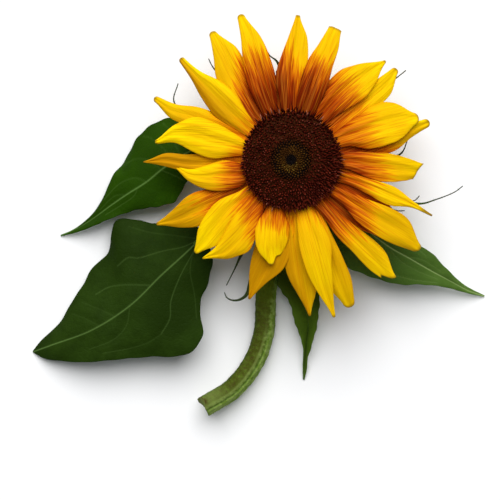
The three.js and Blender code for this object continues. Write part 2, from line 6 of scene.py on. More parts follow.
import bpy
import numpy as np
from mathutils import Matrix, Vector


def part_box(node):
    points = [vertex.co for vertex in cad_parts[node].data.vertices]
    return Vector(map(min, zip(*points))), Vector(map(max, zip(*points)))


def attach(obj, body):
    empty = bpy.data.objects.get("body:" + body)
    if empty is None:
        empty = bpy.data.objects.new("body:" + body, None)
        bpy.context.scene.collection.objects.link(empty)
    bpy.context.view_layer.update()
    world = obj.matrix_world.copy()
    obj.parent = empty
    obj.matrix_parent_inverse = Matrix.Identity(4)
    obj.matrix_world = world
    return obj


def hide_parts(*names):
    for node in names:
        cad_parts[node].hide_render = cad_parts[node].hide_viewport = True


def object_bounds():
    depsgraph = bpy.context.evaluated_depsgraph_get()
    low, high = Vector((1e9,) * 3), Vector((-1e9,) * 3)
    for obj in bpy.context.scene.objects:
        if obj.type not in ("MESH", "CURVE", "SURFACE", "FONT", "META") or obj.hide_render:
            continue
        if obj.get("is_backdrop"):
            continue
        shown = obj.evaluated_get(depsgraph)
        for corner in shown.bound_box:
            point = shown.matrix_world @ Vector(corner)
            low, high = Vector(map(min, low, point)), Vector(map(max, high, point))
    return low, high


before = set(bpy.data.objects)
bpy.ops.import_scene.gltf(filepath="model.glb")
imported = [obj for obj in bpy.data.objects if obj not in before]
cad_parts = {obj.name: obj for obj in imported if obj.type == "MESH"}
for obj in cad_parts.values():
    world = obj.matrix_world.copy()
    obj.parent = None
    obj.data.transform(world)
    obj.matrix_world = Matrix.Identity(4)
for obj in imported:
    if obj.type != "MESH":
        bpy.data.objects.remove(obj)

CAD_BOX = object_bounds()

# Places taken from the frame

MM = 0.001
HEAD_BOX = np.array(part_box("centre_buds"))
HEAD_AXIS = np.array([*HEAD_BOX[:, :2].mean(axis=0), 0.0])
RANDOM = np.random.default_rng(7)
GOLDEN_ANGLE = math.pi * (3 - math.sqrt(5))

# Sizes of the form, nearly all as in the part's source

CLEARANCE = 0.3
LIE = 0.5
STEM_RADIUS = 5.3
STEM_NECK_RADIUS = 6.2
STEM_NECK_LATE = 6
STEM_RIBS = 7
STEM_RIB_DEPTH = 0.25
CUT_LOBE_TURN = 0.75  # where the cut end reaches furthest, as an angle up from the right side
END_FADE = 60  # how soon a shaped end fades along a rod
STEM_GROOVE_TURN = 1.1  # where the long groove runs, as an angle up from the stem's right side
STEM_RIDGE_TURN = 1.4  # where the ridge beside it runs
STEM_RIBS_SHOW = (0.42, 0.25)  # the shares of the length between which the ribs fade in
STEM_ROUTE = [
    (-44.1, -125.6, 11.5),
    (-29.4, -116.5, 9.2),
    (-18.4, -102.4, 7),
    (-13.2, -86.8, 5.6),
    (-12.3, -70, 5.2),
    (-10.5, -50, 5.2),
    (-6.5, -30, 6.2),
    (-2, -12, 12),
    (0, -1, 20),
    (0, 0, 27),
]
HEAD_BACK = 27
LEDGE_HEIGHT = 39.5
BOSS_RADIUS = 19.2
BOSS_HEIGHT = 43
DISH = [(6.8, 27.3), (10, 29.5), (17, 31.9), (23.5, 33.7), (27, 36.9), (26.6, 39.5)]
DISC_RADIUS = 26
DISC_RIM_HEIGHT = 46.2
DISC_DOME = 4.6
CENTRE_RADIUS = 10

RAY_RING_OUTER = 25.2
RAY_ROOT_RADIUS = 20.6
RAY_ROOT_HALF = 3
RAY_LAYERS = (40.7, 41.5, 42.3)
RAY_ARCH = 1.3
RAY_LEAN = 0.22
RIDGE_RISE = 0.55
RIDGE_START = 0.25
RIDGE_FADE = 0.6
END_REACH = 4
TIP_PACKING = 1.2
ARCHED_LENGTH = 50  # shorter florets arch less
DRIED_RAY = 341  # where the floret with the dried brown tip starts

# Ray florets as in the part's source, then how far the rust runs up each one, how deep it is and
# which side it leans to, how amber the rest is and which side more so. That amber is partly
# painted shade, on florets that lie in the shade of those above them. The last five values of
# some are how far the end falls short of the reach, from right to left. The floret that starts
# at 246 degrees drops less and ends broader than in the part's source.
RAY_NAMES = "start end reach whorl drop left right rust deep lean tone side gaps".split()
RAYS = [
    (113, 109, 78, 2, 3, (5, 6.5, 5, 2.8, 1.8), (5.5, 8.5, 8.5, 6.5, 2), 0.62, 0.94, 0, 0.15, 0),
    (128, 121.5, 76.5, 0, 4, (6, 7.5, 8, 4.2, 1.8), (4, 7, 8.5, 8, 2.4), 0.52, 0.96, -0.18, 0.25, 0.6),
    (144, 137, 76, 1, 4, (4.5, 6.5, 5, 2.5, 1.5), (5.5, 8.5, 7.5, 3.5, 1.5), 0.22, 0.5, 0, 0.55, 1),
    (153, 155, 76, 0, 6, (4, 6.5, 7, 6.5, 2), (3, 4.5, 4, 1, 1), 0.38, 0.4, -0.15, 0.5, 0.5),
    (166, 172.5, 69, 2, 4, (5, 7, 4.5, 0.2, 0.5), (7, 11, 13, 9, 1.5), 0.2, 0.45, 0.1, 0, 0.4),
    (182, 180.3, 74.5, 0, 7, (3.5, 5.5, 4.5, 2, 0.3), (3.5, 4.5, 4, 4.5, 0.3), 0.42, 0.45, 0, 1, 0),
    (198, 183, 58.5, 2, 5, (6.5, 8, 7.5, 5, 0.5), (6.5, 7.5, 4.5, 1.2, 1.2), 0.42, 0.75, 0.05, 0.3, 1),
    (207, 205.2, 75, 0, 7, (7, 9.5, 10, 6.5, 1), (3, 5.5, 7, 3.5, 0.7), 0.58, 0.8, 0, 0.8, 0),
    (218, 224, 67, 1, 6, (4, 4.5, 6, 6, 1.5), (4.5, 8, 8.5, 6, 1.5), 0.34, 0.58, 0.15, 0.05, 0),
    (234, 228, 66.5, 2, 6, (5, 10, 12.5, 8, 0.4), (6, 5.5, 3, 0.3, 0.4), 0.45, 0.62, 0.1, 0.15, 0.8),
    (246, 259.8, 53.5, 2, -1, (7, 10, 10, 8.5, 7.5), (3, 6.5, 7, 5.5, 1.5), 0.5, 0.52, 0.08, 0, 0,
     (0.8, 0.5, 3.8, 4.4, 6.2)),
    (264, 253.2, 73, 0, 7, (6, 9, 8.5, 3.5, 0.7), (7, 9.5, 8.8, 6, 0.7), 0.32, 0.5, 0, 1, 0),
    (273, 277.3, 79, 0, 6, (2.5, 5.5, 7, 5.5, 0.4), (5, 7, 7.5, 4, 0.8), 0.25, 0.45, 0, 0.75, -0.3),
    (285, 285.6, 82, 2, 4, (6, 8.5, 5.5, 3, 0.8), (5.5, 7.5, 7, 4, 0.8), 0.2, 0.45, 0, 0.28, 0),
    (297, 292.2, 80, 0, 7, (2.5, 3, 4, 4.5, 3), (5, 7.5, 8.5, 7.5, 3), 0.22, 0.7, 0, 0.45, 0.5),
    (302, 311.7, 79.5, 1, 5, (5, 6.5, 8, 7.5, 1), (2.5, 3.5, 3.5, 4.5, 4), 0.48, 0.85, 0, 0.35, 0,
     (6, 6.5, 2.5, 0.5, 0)),
    # Painted shade: this short floret under the others is rust nearly to its tip.
    (316, 320, 58, 0, 5, (4, 5, 4.5, 3, 1), (4, 5, 4.5, 3, 1), 1, 0.85, 0, 0.6, 0),
    (322.5, 326, 79, 2, 4, (5, 7, 9.5, 9, 1.5), (2, 5, 6, 5, 3), 0.52, 0.68, -0.08, 0.45, 0,
     (2, 0.7, 0, 0, 0.5)),
    (341, 338.8, 76.5, 1, 3, (4, 5, 5.5, 2.7, 0.4), (2, 3, 4, 0.7, 0.4), 0.42, 0.62, 0, 0.1, 0),
    # Painted shade: these short florets under the others are rust nearly to their tips.
    (336, 333, 60, 0, 5, (4, 5.5, 5, 3, 1), (4, 5.5, 5, 3, 1), 1, 0.75, 0, 0.6, 0),
    (350, 349, 50, 0, 4, (4, 5, 4.5, 3, 1), (4, 5, 4.5, 3, 1), 1, 0.5, 0, 0.6, 0),
    (0, -2.5, 67, 1, 4, (4.5, 4.8, 5, 3.5, 1.5), (4.5, 8, 9.8, 8.5, 7), 0.62, 0.6, -0.1, 0.3, -0.4,
     (4.5, 3.5, 2.7, 1.5, 0)),
    (10, 15.5, 73, 0, 5, (4.5, 5, 5, 4, 2.5), (4, 6.6, 7.2, 3.6, 2), 0.5, 0.85, -0.15, 0.3, -0.5),
    (22, 18, 68, 2, 3, (6.5, 9.5, 12, 11, 4), (4, 8.5, 9, 7.5, 2.5), 0.56, 0.42, 0, 0.15, 0.8),
    (39, 40.8, 71, 0, 5, (5, 6, 4.5, 3, 2), (5, 7, 7.5, 7, 2), 0.52, 0.64, 0.12, 0.15, 0),
    (55, 46.2, 69.5, 1, 4, (7, 9.8, 10, 6, 1), (4.5, 6.8, 8, 5.5, 0.5), 0.58, 0.76, 0, 0.12, 0),
    (74, 70.5, 70.5, 2, 3, (6, 7.2, 7.6, 5.5, 4.3), (5.5, 6.4, 5.6, 4.7, 2.4), 0.64, 1.08, 0, 0.25, 0,
     (0.3, 0, 0, 0, 0.5)),
    (92, 87.3, 73.5, 1, 3, (5, 7.5, 5.5, 2.8, 0.8), (6, 7.2, 8.2, 6.5, 1.3), 0.58, 0.96, 0.18, 0.25, 0,
     (0.2, 0, 0, 0, 0.2)),
    # Painted shade: this short floret under the others is rust nearly to its tip.
    (102, 99, 44, 0, 2, (4, 5, 4.5, 3, 1), (4, 5, 4.5, 3, 1), 1, 0.8, 0, 0.6, 0),
]

# Long-tipped bracts: the root's direction in degrees, the level route to the tip, its height and
# how finely the tip tapers, which is more than in the part's source.
LONG_BRACTS = [
    (90, [(-6.5, 50), (-10.5, 53.5), (-12, 56)], 33, 1.9),
    (130, [(-39.5, 48), (-41.5, 52)], 32, 2.3),
    (164, [(-45, 18), (-59, 30), (-57, 39.5)], 31, 2.5),
    (242, [(-25.5, -48.5), (-28, -54), (-32.5, -63)], 27, 2.5),
    (253.5, [(-20.5, -63), (-21.5, -66.5), (-23.5, -69), (-26.5, -70.5), (-30, -70.5), (-32.5, -69),
     (-33.5, -66.5)], 27, 1.5),
    (333, [(54, -25), (58, -25)], 30, 2.3),
    (338, [(62.5, -20), (65.5, -17.5)], 31, 2.6),
    (334, [(65, -21.5), (73.5, -19.5), (83.5, -15.5), (87.5, -12.5)], 31, 3.2),
    (-7, [(55.5, 3.5), (59.5, 11)], 32, 2.1),
    (38, [(56, 44), (58.5, 46)], 33, 2.3),
]
SHORT_BRACTS = 14
SHORT_BRACT_REACH = 47
SHORT_BRACT_VARY = 3
SHORT_BRACT_SWING = 4
SHORT_BRACT_HEIGHT = 31
SHORT_BRACT_TAPER = 2
BRACT_HALF = 4
BRACT_TIP_HALF = 0.25
BRACT_ROOT_SHARE = 0.75
BRACT_WIDEST = 0.25
BRACT_ROOT_RADIUS = 20
BRACT_ROOT_HEIGHT = 35.2
BRACT_SAG = 1.6
BRACT_CUP = 0.5

# Leaves as in the part's source, then the fineness of each one's mesh and its side veins as
# level routes with their strength.
LEAF_TOOTH = 0.4
LEAF_CROWN = 0.8
LEAF_WAVES = 3
LEAF_RIM_HALF = 0.4
STALK_RADIUS = 2.2
STALK_END_SHARE = 0.5
LEAVES = {
    "leaf_upper_left": {
        "skin": "bright", "slot": "leaf_green", "wave": 0.7, "mesh": (200, 80),
        "rib": [(-46, 8, 20.5), (-56, 3, 20), (-66, -4, 19), (-73.5, -10, 17), (-84, -16.5, 13),
            (-93, -22.5, 9), (-100, -27.5, 6), (-108, -32.5, 3), (-119, -37.5, LIE)],
        "left": [(-45.5, 1, 19), (-50, -6, 17.5), (-55, -12.5, 16.5), (-59, -19.5, 16),
            (-66, -22, 15.5), (-79, -24, 14.5), (-88.5, -27, 13), (-95, -29.5, 11.5),
            (-102, -32.5, 8.5), (-110.5, -35.5, 4.5)],
        "right": [(-46.5, 14, 17), (-50.5, 19.5, 11), (-56, 22.5, 4), (-61, 23.5, LIE),
            (-68.5, 21.5, LIE), (-78, 14, 2.5), (-85.5, 0.5, 5), (-91.5, -7, 6), (-95.5, -16.5, 6),
            (-101, -25.5, 4.5), (-111.5, -34.5, 2)],
        "stalk": [(-2, -9, 14), (-22, -1, 18), (-36, 6, 20.5)],
        "veins": [
            ([(-66, -4), (-61, -6), (-55, -9), (-50, -14)], 0.3),
            ([(-66, -4), (-72, 1), (-79, 2), (-86, -1)], 0.14),
            ([(-73.5, -10), (-80, -8), (-88, -11), (-96, -19)], 0.16),
            ([(-78, -12.5), (-80, -17), (-87, -22), (-95, -27)], 0.16),
            ([(-60, 1), (-66, 8), (-72, 13), (-76, 14)], 0.16),
            ([(-56, 3), (-60, 12), (-63, 18), (-66, 21)], 0.16),
            ([(-84, -16.5), (-90, -17), (-98, -24)], 0.12),
        ],
    },
    "leaf_lower_left": {
        "skin": "dark", "slot": "leaf_dark", "wave": 1.0, "mesh": (260, 150),
        "rib": [(-46, -39.5, 20), (-55, -48, 20.5), (-66, -58, 20), (-82, -73.5, 19), (-101.5, -86, 15),
            (-122.5, -94, 7), (-133.5, -98, LIE)],
        "left": [(-42, -42, 19.5), (-40, -49.5, 19), (-42, -60.5, 18.5), (-46, -71, 18),
            (-46.5, -76, 18), (-45, -84.5, 18), (-45, -88, 18), (-48.5, -95, 17.5), (-56, -99, 17.5),
            (-70.5, -99.5, 17.5), (-83.5, -100.5, 16.5), (-107, -102.5, 13), (-118, -102, 9.5),
            (-127, -101, 4.5)],
        "right": [(-46, -34.5, 18), (-56.5, -30.5, 15), (-68.5, -31.5, 12), (-77.5, -30, 11),
            (-86, -29, 10), (-90.5, -31.5, 9), (-92.5, -42.5, 8), (-94.5, -48, 8), (-101.5, -54, 8),
            (-106.5, -63, 8), (-113, -73, 7), (-119, -83, 5), (-129, -92.5, 2)],
        "stalk": [(-7, -34, 6.5), (-24, -37, 13), (-38, -39, 18)],
        "veins": [
            ([(-46, -39.5), (-55, -43.5), (-65, -45.5), (-77.9, -49.1), (-83, -48.9),
             (-88.6, -53.2)], 0.28),
            ([(-72, -63), (-78.5, -62.9), (-85.4, -62.9), (-93.2, -64.2), (-100, -68)], 0.28),
            ([(-46, -39.5), (-50.4, -47.6), (-56.4, -58.7), (-61.1, -71.5), (-61.5, -79.8),
             (-66, -88)], 0.3),
            ([(-46, -39.5), (-50, -48.4), (-51.2, -55.2), (-49, -68), (-48, -80)], 0.15),
            ([(-46, -39.5), (-60, -37.5), (-72, -36), (-83, -33)], 0.14),
            ([(-82, -73.5), (-84, -84), (-90.7, -91), (-103, -96)], 0.15),
            ([(-66, -88), (-72, -92), (-80.4, -95), (-96, -98)], 0.15),
            ([(-98, -83.8), (-106, -80), (-112, -78)], 0.12),
            ([(-90, -79), (-99, -75), (-107, -72)], 0.12),
        ],
    },
    "leaf_lower": {
        "skin": "fold_painted_light", "slot": "leaf_dark", "wave": 0.3, "mesh": (150, 40),
        "rib": [(-0.5, -51, 8), (1, -63, 8), (6, -71, 8), (9.5, -81, 7.5), (9, -91.5, 5.5),
            (8, -102, 3), (7.5, -112.5, LIE)],
        "left": [(6, -54, 12), (12.5, -61.5, 14), (15, -70.5, 14), (14.5, -77, 13), (13.5, -85.5, 11),
            (12, -90.5, 9), (10.5, -96.5, 7), (9, -101, 5), (8.8, -106, 3)],
        "right": [(-5.5, -56.5, 10), (-6, -62.5, 11), (-2.5, -68, 11), (0, -71.5, 12), (1.5, -76, 12.5),
            (2.5, -81, 12), (6, -90.5, 9), (7.5, -97, 6.5), (7.3, -103, 4), (7.3, -108.5, 2)],
        "stalk": [(-9.5, -42, 6.5), (-3.5, -44, 8)],
        "veins": [],
    },
    "leaf_right": {
        "skin": "pale_painted_sheen", "slot": "leaf_green", "wave": 0.8, "mesh": (200, 80),
        "rib": [(19.5, -18, 14), (32, -28.5, 17), (50.5, -43, 17), (62, -49.5, 15), (72.5, -55.5, 12),
            (83, -61, 8), (92.5, -66, 4), (101.5, -69, LIE)],
        "left": [(28.5, -14, 16), (41, -21, 17), (54, -31.5, 16), (63.5, -40, 14), (67.5, -43.5, 13),
            (74, -47.5, 11), (76.5, -50.5, 10), (83, -57, 8), (88.5, -62, 5), (94, -65.5, 3)],
        "right": [(16.5, -27, 13), (19.5, -40, 14.5), (24.5, -48.5, 15.5), (28, -52.5, 16),
            (36.5, -56.5, 16), (46.5, -60, 15.5), (57, -62.5, 15), (67.5, -62.5, 14), (78, -63.5, 11),
            (88.5, -66, 6.5), (94, -67.5, 4)],
        "stalk": [(-3, -19, 8.5), (8, -18.5, 11)],
        "veins": [
            ([(32, -28.5), (30, -39), (33, -47), (46, -55), (62, -60), (76, -62)], 0.13),
            ([(40, -35), (50, -34), (60, -40), (70, -48)], 0.1),
            ([(50.5, -43), (56, -50), (66, -56), (76, -60)], 0.1),
            ([(60, -48.5), (68, -50), (78, -56)], 0.08),
            ([(32, -28.5), (38, -26), (46, -28), (54, -34)], 0.14),
            ([(32, -28.5), (24, -34), (22, -42)], 0.16),
        ],
    },
}

# Fine sizes of the dressed pieces

PETAL_THICKNESS = 0.5
LEAF_THICKNESS = 0.5
BRACT_THICKNESS = 0.6
PETAL_MESH = (58, 26)
BRACT_MESH = (48, 8)
STEM_MESH = (260, 72)
DISC_FLORETS = 1180
CENTRE_FLORETS = 270
STEM_HAIRS = 1500
BRACT_HAIRS = 34
DISC_INSET = 1.9  # how far the florets stand in from the solid's rim
DISC_COMBED = -32  # direction in degrees in which the florets are combed outward
FLORET_SINK = 1.1  # how far a floret's root stands below the face
AXIS_RADIUS = 0.05  # where turned profiles end at the axis
RIM_ROWS = ((210, 1.1, 5.2, 0.0), (42, 1.3, 3.8, 2.0))  # count, lean, length and paleness
RIM_THINNESS = 0.35  # the share of its thickness that a blade keeps at its rim
RIDGE_PLACES = (-0.62, -0.3, 0.05, 0.4, 0.68)  # where sharp ridges run along a ray floret
RIDGE_WIDTH = 0.075
RIDGE_HEIGHT = 0.42
PETAL_VEINS = 23
PETAL_RUMPLE = 0.4
FLORET_LENGTH = 2.1
RIB_STRENGTH = 0.75  # how strongly a leaf's middle vein shows
LEAF_PUFF = 0.4  # how far a leaf rises between its veins
LEAF_PUFF_WIDTH = 3.2
LEAF_RUMPLE = 0.5
RIDGE_SEED = 300
RUMPLE_SEED = 90
EDGE_SEED = 40
CLUMP_SEED = 11
TUFT_SEED = 135

# Colours

YELLOW = "#fbd502"
GOLD = "#e6aa03"
AMBER_SHADE = "#c08503"
RUST_FADE = [
    (0.0, "#f3be03"),
    (0.2, "#db8703"),
    (0.4, "#c45f03"),
    (0.6, "#a84002"),
    (0.8, "#8a2b02"),
    (1.0, "#6c1b02"),
]
# Painted highlight for the ridges of the ray florets
PETAL_RIDGE_HIGHLIGHT = "#f3962a"
# Painted shade for the creases of the ray florets
PETAL_CREASE_SHADE = "#b96a04"
PETAL_ROOT = "#c9741c"
PETAL_TIP = "#7d5a14"
DISC_DARK = "#360d06"
DISC_MAROON = "#6e2515"
DISC_PINK = "#96594a"
DISC_PALE = "#b5755c"
CENTRE_BASE = "#341c07"
CENTRE_OLIVE = "#5e4012"
CENTRE_TICK = "#9c873a"
CENTRE_DARK = "#120c0b"
LEAF_COLOURS = {
    "bright": ("#294a04", "#1f3a02", "#688a44", 0.02),
    "dark": ("#24380b", "#1b2c06", "#5f7c3e", 0.02),
    # Painted light: this green is lighter to make up for the head's shadow on the lower leaf.
    "fold_painted_light": ("#506c1a", "#415716", "#5f7c3e", 0.02),
    # Partly painted sheen: the right leaf's green is lighter and bluer.
    "pale_painted_sheen": ("#506d2c", "#405b20", "#a3ba74", 0.03),
}
LEAF_BACK = "#5f7f48"
STALK_GREEN = "#4a6a24"
STEM_GREEN = "#5b7720"
STEM_RIB = "#8a9f52"
# Painted light for the upper stem under the head's shadow
STEM_UPPER_PAINTED_LIGHT = "#7f9f18"
STEM_GROOVE = "#2f4a12"
STEM_OLIVE = "#40470e"
STEM_BROWN = "#3d3014"
STEM_PITH = "#6f7a3e"
STEM_HAIR = "#8a9050"
BRACT_GREEN = "#3b5322"
BRACT_RIB = "#7f944c"
BRACT_TIP = "#263012"
BRACT_HAIR = "#a5b290"
FLOOR_WHITE = "#f6f6f6"
FLOOR_GREY = "#f2f2f3"


# Arithmetic

def mix(a, b, share):
    return a + (b - a) * share


def smooth(low, high, value):
    share = np.clip((value - low) / (high - low), 0, 1)
    return share * share * (3 - 2 * share)


def along(values, share):
    """A smooth value at shares of the way through equally spaced values."""
    values = np.asarray(values, float)
    place = np.minimum(share, 0.9999) * (len(values) - 1)
    i = np.floor(place).astype(int)
    t = place - i
    before = values[np.maximum(i - 1, 0)]
    after = values[np.minimum(i + 2, len(values) - 1)]
    start, end = values[i], values[i + 1]
    start_slope = (end - before) / 2
    end_slope = (after - start) / 2
    bend = 3 * (end - start) - 2 * start_slope - end_slope
    twist = 2 * (start - end) + start_slope + end_slope
    return start + start_slope * t + bend * t * t + twist * t**3


def ripple(x, y, seed, waves=5):
    """A gentle seeded wave pattern over two coordinates, between about -1 and 1."""
    draw = np.random.default_rng(seed)
    total = np.zeros(np.broadcast(x, y).shape)
    for _ in range(waves):
        fx, fy = draw.normal(0, 1, 2)
        total = total + np.sin(fx * x + fy * y + draw.uniform(0, 2 * math.pi))
    return total / math.sqrt(waves)


def unit(vectors):
    return vectors / np.maximum(np.linalg.norm(vectors, axis=-1, keepdims=True), 1e-9)


def around(angle, radius):
    """Level points at angles and radii about the head's axis."""
    return np.stack([radius * np.cos(angle), radius * np.sin(angle), 0 * angle * radius], axis=-1)


def full_turn(sides):
    return np.linspace(0, 2 * math.pi, sides, endpoint=False)


class Route:
    """A smooth curve through points, measured by its length as in the part's source."""

    def __init__(self, points, steps=60):
        knots = [np.array(p, float) for p in points]
        knots = [2 * knots[0] - knots[1], *knots, 2 * knots[-1] - knots[-2]]
        t = np.linspace(0, 1, steps, endpoint=False)[:, None]
        samples = []
        for p0, p1, p2, p3 in zip(knots, knots[1:], knots[2:], knots[3:]):
            spans = (np.linalg.norm(b - a) for a, b in ((p0, p1), (p1, p2), (p2, p3)))
            d0, d1, d2 = (max(span, 1e-4) ** 0.5 for span in spans)
            m1 = ((p1 - p0) / d0 - (p2 - p0) / (d0 + d1) + (p2 - p1) / d1) * d1
            m2 = ((p2 - p1) / d1 - (p3 - p1) / (d1 + d2) + (p3 - p2) / d2) * d1
            bend = 3 * (p2 - p1) - 2 * m1 - m2
            samples.append(p1 + m1 * t + bend * t**2 + (2 * (p1 - p2) + m1 + m2) * t**3)
        self.samples = np.concatenate([*samples, knots[-2][None, :]])
        lengths = np.linalg.norm(np.diff(self.samples, axis=0), axis=1)
        self.shares = np.concatenate([[0], np.cumsum(lengths)]) / lengths.sum()

    def point(self, share):
        columns = [np.interp(share, self.shares, column) for column in self.samples.T]
        return np.stack(columns, axis=-1)

    def ahead(self, share):
        share = np.clip(share, 0, 1)
        step = 0.004
        return unit(self.point(np.minimum(share + step, 1)) - self.point(np.maximum(share - step, 0)))


# Mesh making

def new_object(name, data):
    thing = bpy.data.objects.new(name, data)
    bpy.context.scene.collection.objects.link(thing)
    return thing


class Shape:
    """Points, faces and named values for each point, gathered piece by piece."""

    def __init__(self):
        self.points = []
        self.faces = []
        self.values = {}
        self.count = 0

    def add(self, points, blocks, **values):
        points = np.asarray(points, float).reshape(-1, 3)
        self.points.append(points)
        for block in blocks:
            self.faces.extend((block + self.count).tolist())
        for name in set(self.values) | set(values):
            given = np.asarray(values.get(name, 0.0), float).reshape(-1)
            column = self.values.setdefault(name, [np.zeros(self.count)])
            column.append(np.broadcast_to(given, (len(points),)))
        self.count += len(points)

    def build(self, name, material):
        places = np.concatenate(self.points) * MM + HEAD_AXIS
        mesh = bpy.data.meshes.new(name)
        mesh.from_pydata(places.tolist(), [], self.faces)
        for key, columns in self.values.items():
            layer = mesh.attributes.new(key, "FLOAT", "POINT")
            layer.data.foreach_set("value", np.concatenate(columns).astype(np.float32))
        mesh.polygons.foreach_set("use_smooth", np.ones(len(mesh.polygons), bool))
        mesh.materials.append(material)
        mesh.update()
        return new_object(name, mesh)


def band_faces(rings, sides):
    """Quads between successive rings of points."""
    ring = np.arange(sides)
    following = np.roll(ring, -1)
    band = np.stack([ring, following, following + sides, ring + sides], axis=1)
    return np.concatenate([band + i * sides for i in range(rings - 1)])


def fan_faces(centre, start, sides, far):
    """Triangles from a centre point to the ring that begins at start, at the near or far end."""
    ring = np.arange(sides) + start
    following = np.roll(ring, -1)
    pair = (ring, following) if far else (following, ring)
    return np.stack([np.full(sides, centre), *pair], axis=1)


def blade(shape, middle, thickness, **values):
    """Adds a thin closed blade round a grid of middle points, thinner towards its rim."""
    rows, columns = middle.shape[:2]
    count = rows * columns
    normal = unit(np.cross(np.gradient(middle, axis=0), np.gradient(middle, axis=1)))
    normal[normal[..., 2] < 0] *= -1
    across = np.linspace(-1, 1, columns)[None, :]
    share = np.linspace(0, 1, rows)[:, None]
    taper = np.sqrt(np.clip(1 - across**8, 0, 1)) * np.sqrt(np.clip(1 - share**16, 0, 1))
    half = (thickness / 2 * mix(RIM_THINNESS, 1, taper))[..., None]
    at = np.arange(count).reshape(rows, columns)
    corners = [at[:-1, :-1], at[1:, :-1], at[1:, 1:], at[:-1, 1:]]
    top = np.stack(corners, axis=-1).reshape(-1, 4)
    rim = np.concatenate([at[0, :-1], at[:-1, -1], at[-1, :0:-1], at[:0:-1, 0]])
    following = np.roll(rim, -1)
    side = np.stack([rim, following, following + count, rim + count], axis=1)
    doubled = {"back": np.repeat([0.0, 1.0], count)}
    for name, value in values.items():
        doubled[name] = np.tile(np.broadcast_to(value, middle.shape[:2]).reshape(-1), 2)
    points = np.stack([middle + normal * half, middle - normal * half])
    shape.add(points, [top, top[:, ::-1] + count, side], **doubled)


def tube(shape, route, sides, steps, radius_at, ceiling=None, end_at=None, **values):
    """Adds a closed rod round a route, cut level at the floor and the ceiling.

    radius_at takes the share of the length and the angle round the route, and end_at the angle
    for how far the near end reaches out there.
    """
    share = np.linspace(0, 1, steps + 1)
    angle = full_turn(sides)
    ahead = route.ahead(share)
    middle = route.point(share)
    level = unit(np.stack([ahead[:, 1], -ahead[:, 0], 0 * share], axis=1))
    level = mix(level, level[steps // 2], np.clip((share - 0.5) * 2, 0, 1)[:, None])
    level = unit(level - ahead * np.sum(level * ahead, axis=1, keepdims=True))
    upright = np.cross(level, ahead)
    radius = radius_at(share[:, None], angle[None, :])
    skin = middle[:, None, :] + level[:, None, :] * (np.cos(angle) * radius)[..., None]
    skin = skin + upright[:, None, :] * (np.sin(angle) * radius)[..., None]
    if end_at is not None:
        fade = np.exp(-share * END_FADE)[:, None]
        skin = skin - ahead[0] * (end_at(angle)[None, :] * fade)[..., None]
    skin[..., 2] = np.clip(skin[..., 2], 0, ceiling)
    last = (steps + 1) * sides
    near = fan_faces(last, 0, sides, False)
    far = fan_faces(last + 1, steps * sides, sides, True)
    points = np.concatenate([skin.reshape(-1, 3), middle[:1], middle[-1:]])
    shares = np.concatenate([np.repeat(share, sides), [0, 1]])
    turns = np.concatenate([np.tile(angle, steps + 1), [0, 0]])
    shape.add(points, [band_faces(steps + 1, sides), near, far], share=shares, turn=turns, **values)
    return skin


def turned(shape, profile, sides, **values):
    """Adds a body turned about the head's axis from a closed profile of radii and heights."""
    radius, height = np.array(profile, float).T
    points = around(full_turn(sides)[None, :], radius[:, None])
    points[..., 2] = height[:, None]
    shape.add(points, [band_faces(len(profile), sides)], **values)


def spikes(shape, roots, ways, lengths, radii, profile, sides=5, **values):
    """Adds small closed spindles: profile is a list of (share of length, share of radius)."""
    ways = unit(ways)
    helper = np.where(np.abs(ways[:, 2:3]) > 0.9, [[1.0, 0, 0]], [[0, 0, 1.0]])
    first = unit(np.cross(ways, helper))[:, None, :]
    second = np.cross(ways, first[:, 0])[:, None, :]
    angle = full_turn(sides)[None, :, None]
    outward = first * np.cos(angle) + second * np.sin(angle)
    rings = []
    for height, girth in profile:
        centre = roots + ways * (lengths * height)[:, None]
        rings.append(centre[:, None, :] + outward * (radii * girth)[:, None, None])
    tip = roots + ways * lengths[:, None]
    points = np.concatenate([*rings, tip[:, None, :], roots[:, None, :]], axis=1)
    each = points.shape[1]
    top = (len(profile) - 1) * sides
    caps = [fan_faces(each - 2, top, sides, True), fan_faces(each - 1, 0, sides, False)]
    offsets = (np.arange(len(roots)) * each)[:, None, None]
    blocks = []
    for pattern in (band_faces(len(profile), sides), np.concatenate(caps)):
        blocks.append((pattern[None] + offsets).reshape(-1, pattern.shape[1]))
    heights = np.concatenate([np.repeat([height for height, _ in profile], sides), [1, 0]])
    spread = {}
    for name, value in values.items():
        spread[name] = np.repeat(np.broadcast_to(value, len(roots)), each)
    shape.add(points, blocks, height=np.tile(heights, len(roots)), **spread)


# Material making

def linear(code):
    parts = [int(code[i:i + 2], 16) / 255 for i in (1, 3, 5)]
    return (*[p / 12.92 if p <= 0.04045 else ((p + 0.055) / 1.055) ** 2.4 for p in parts], 1.0)


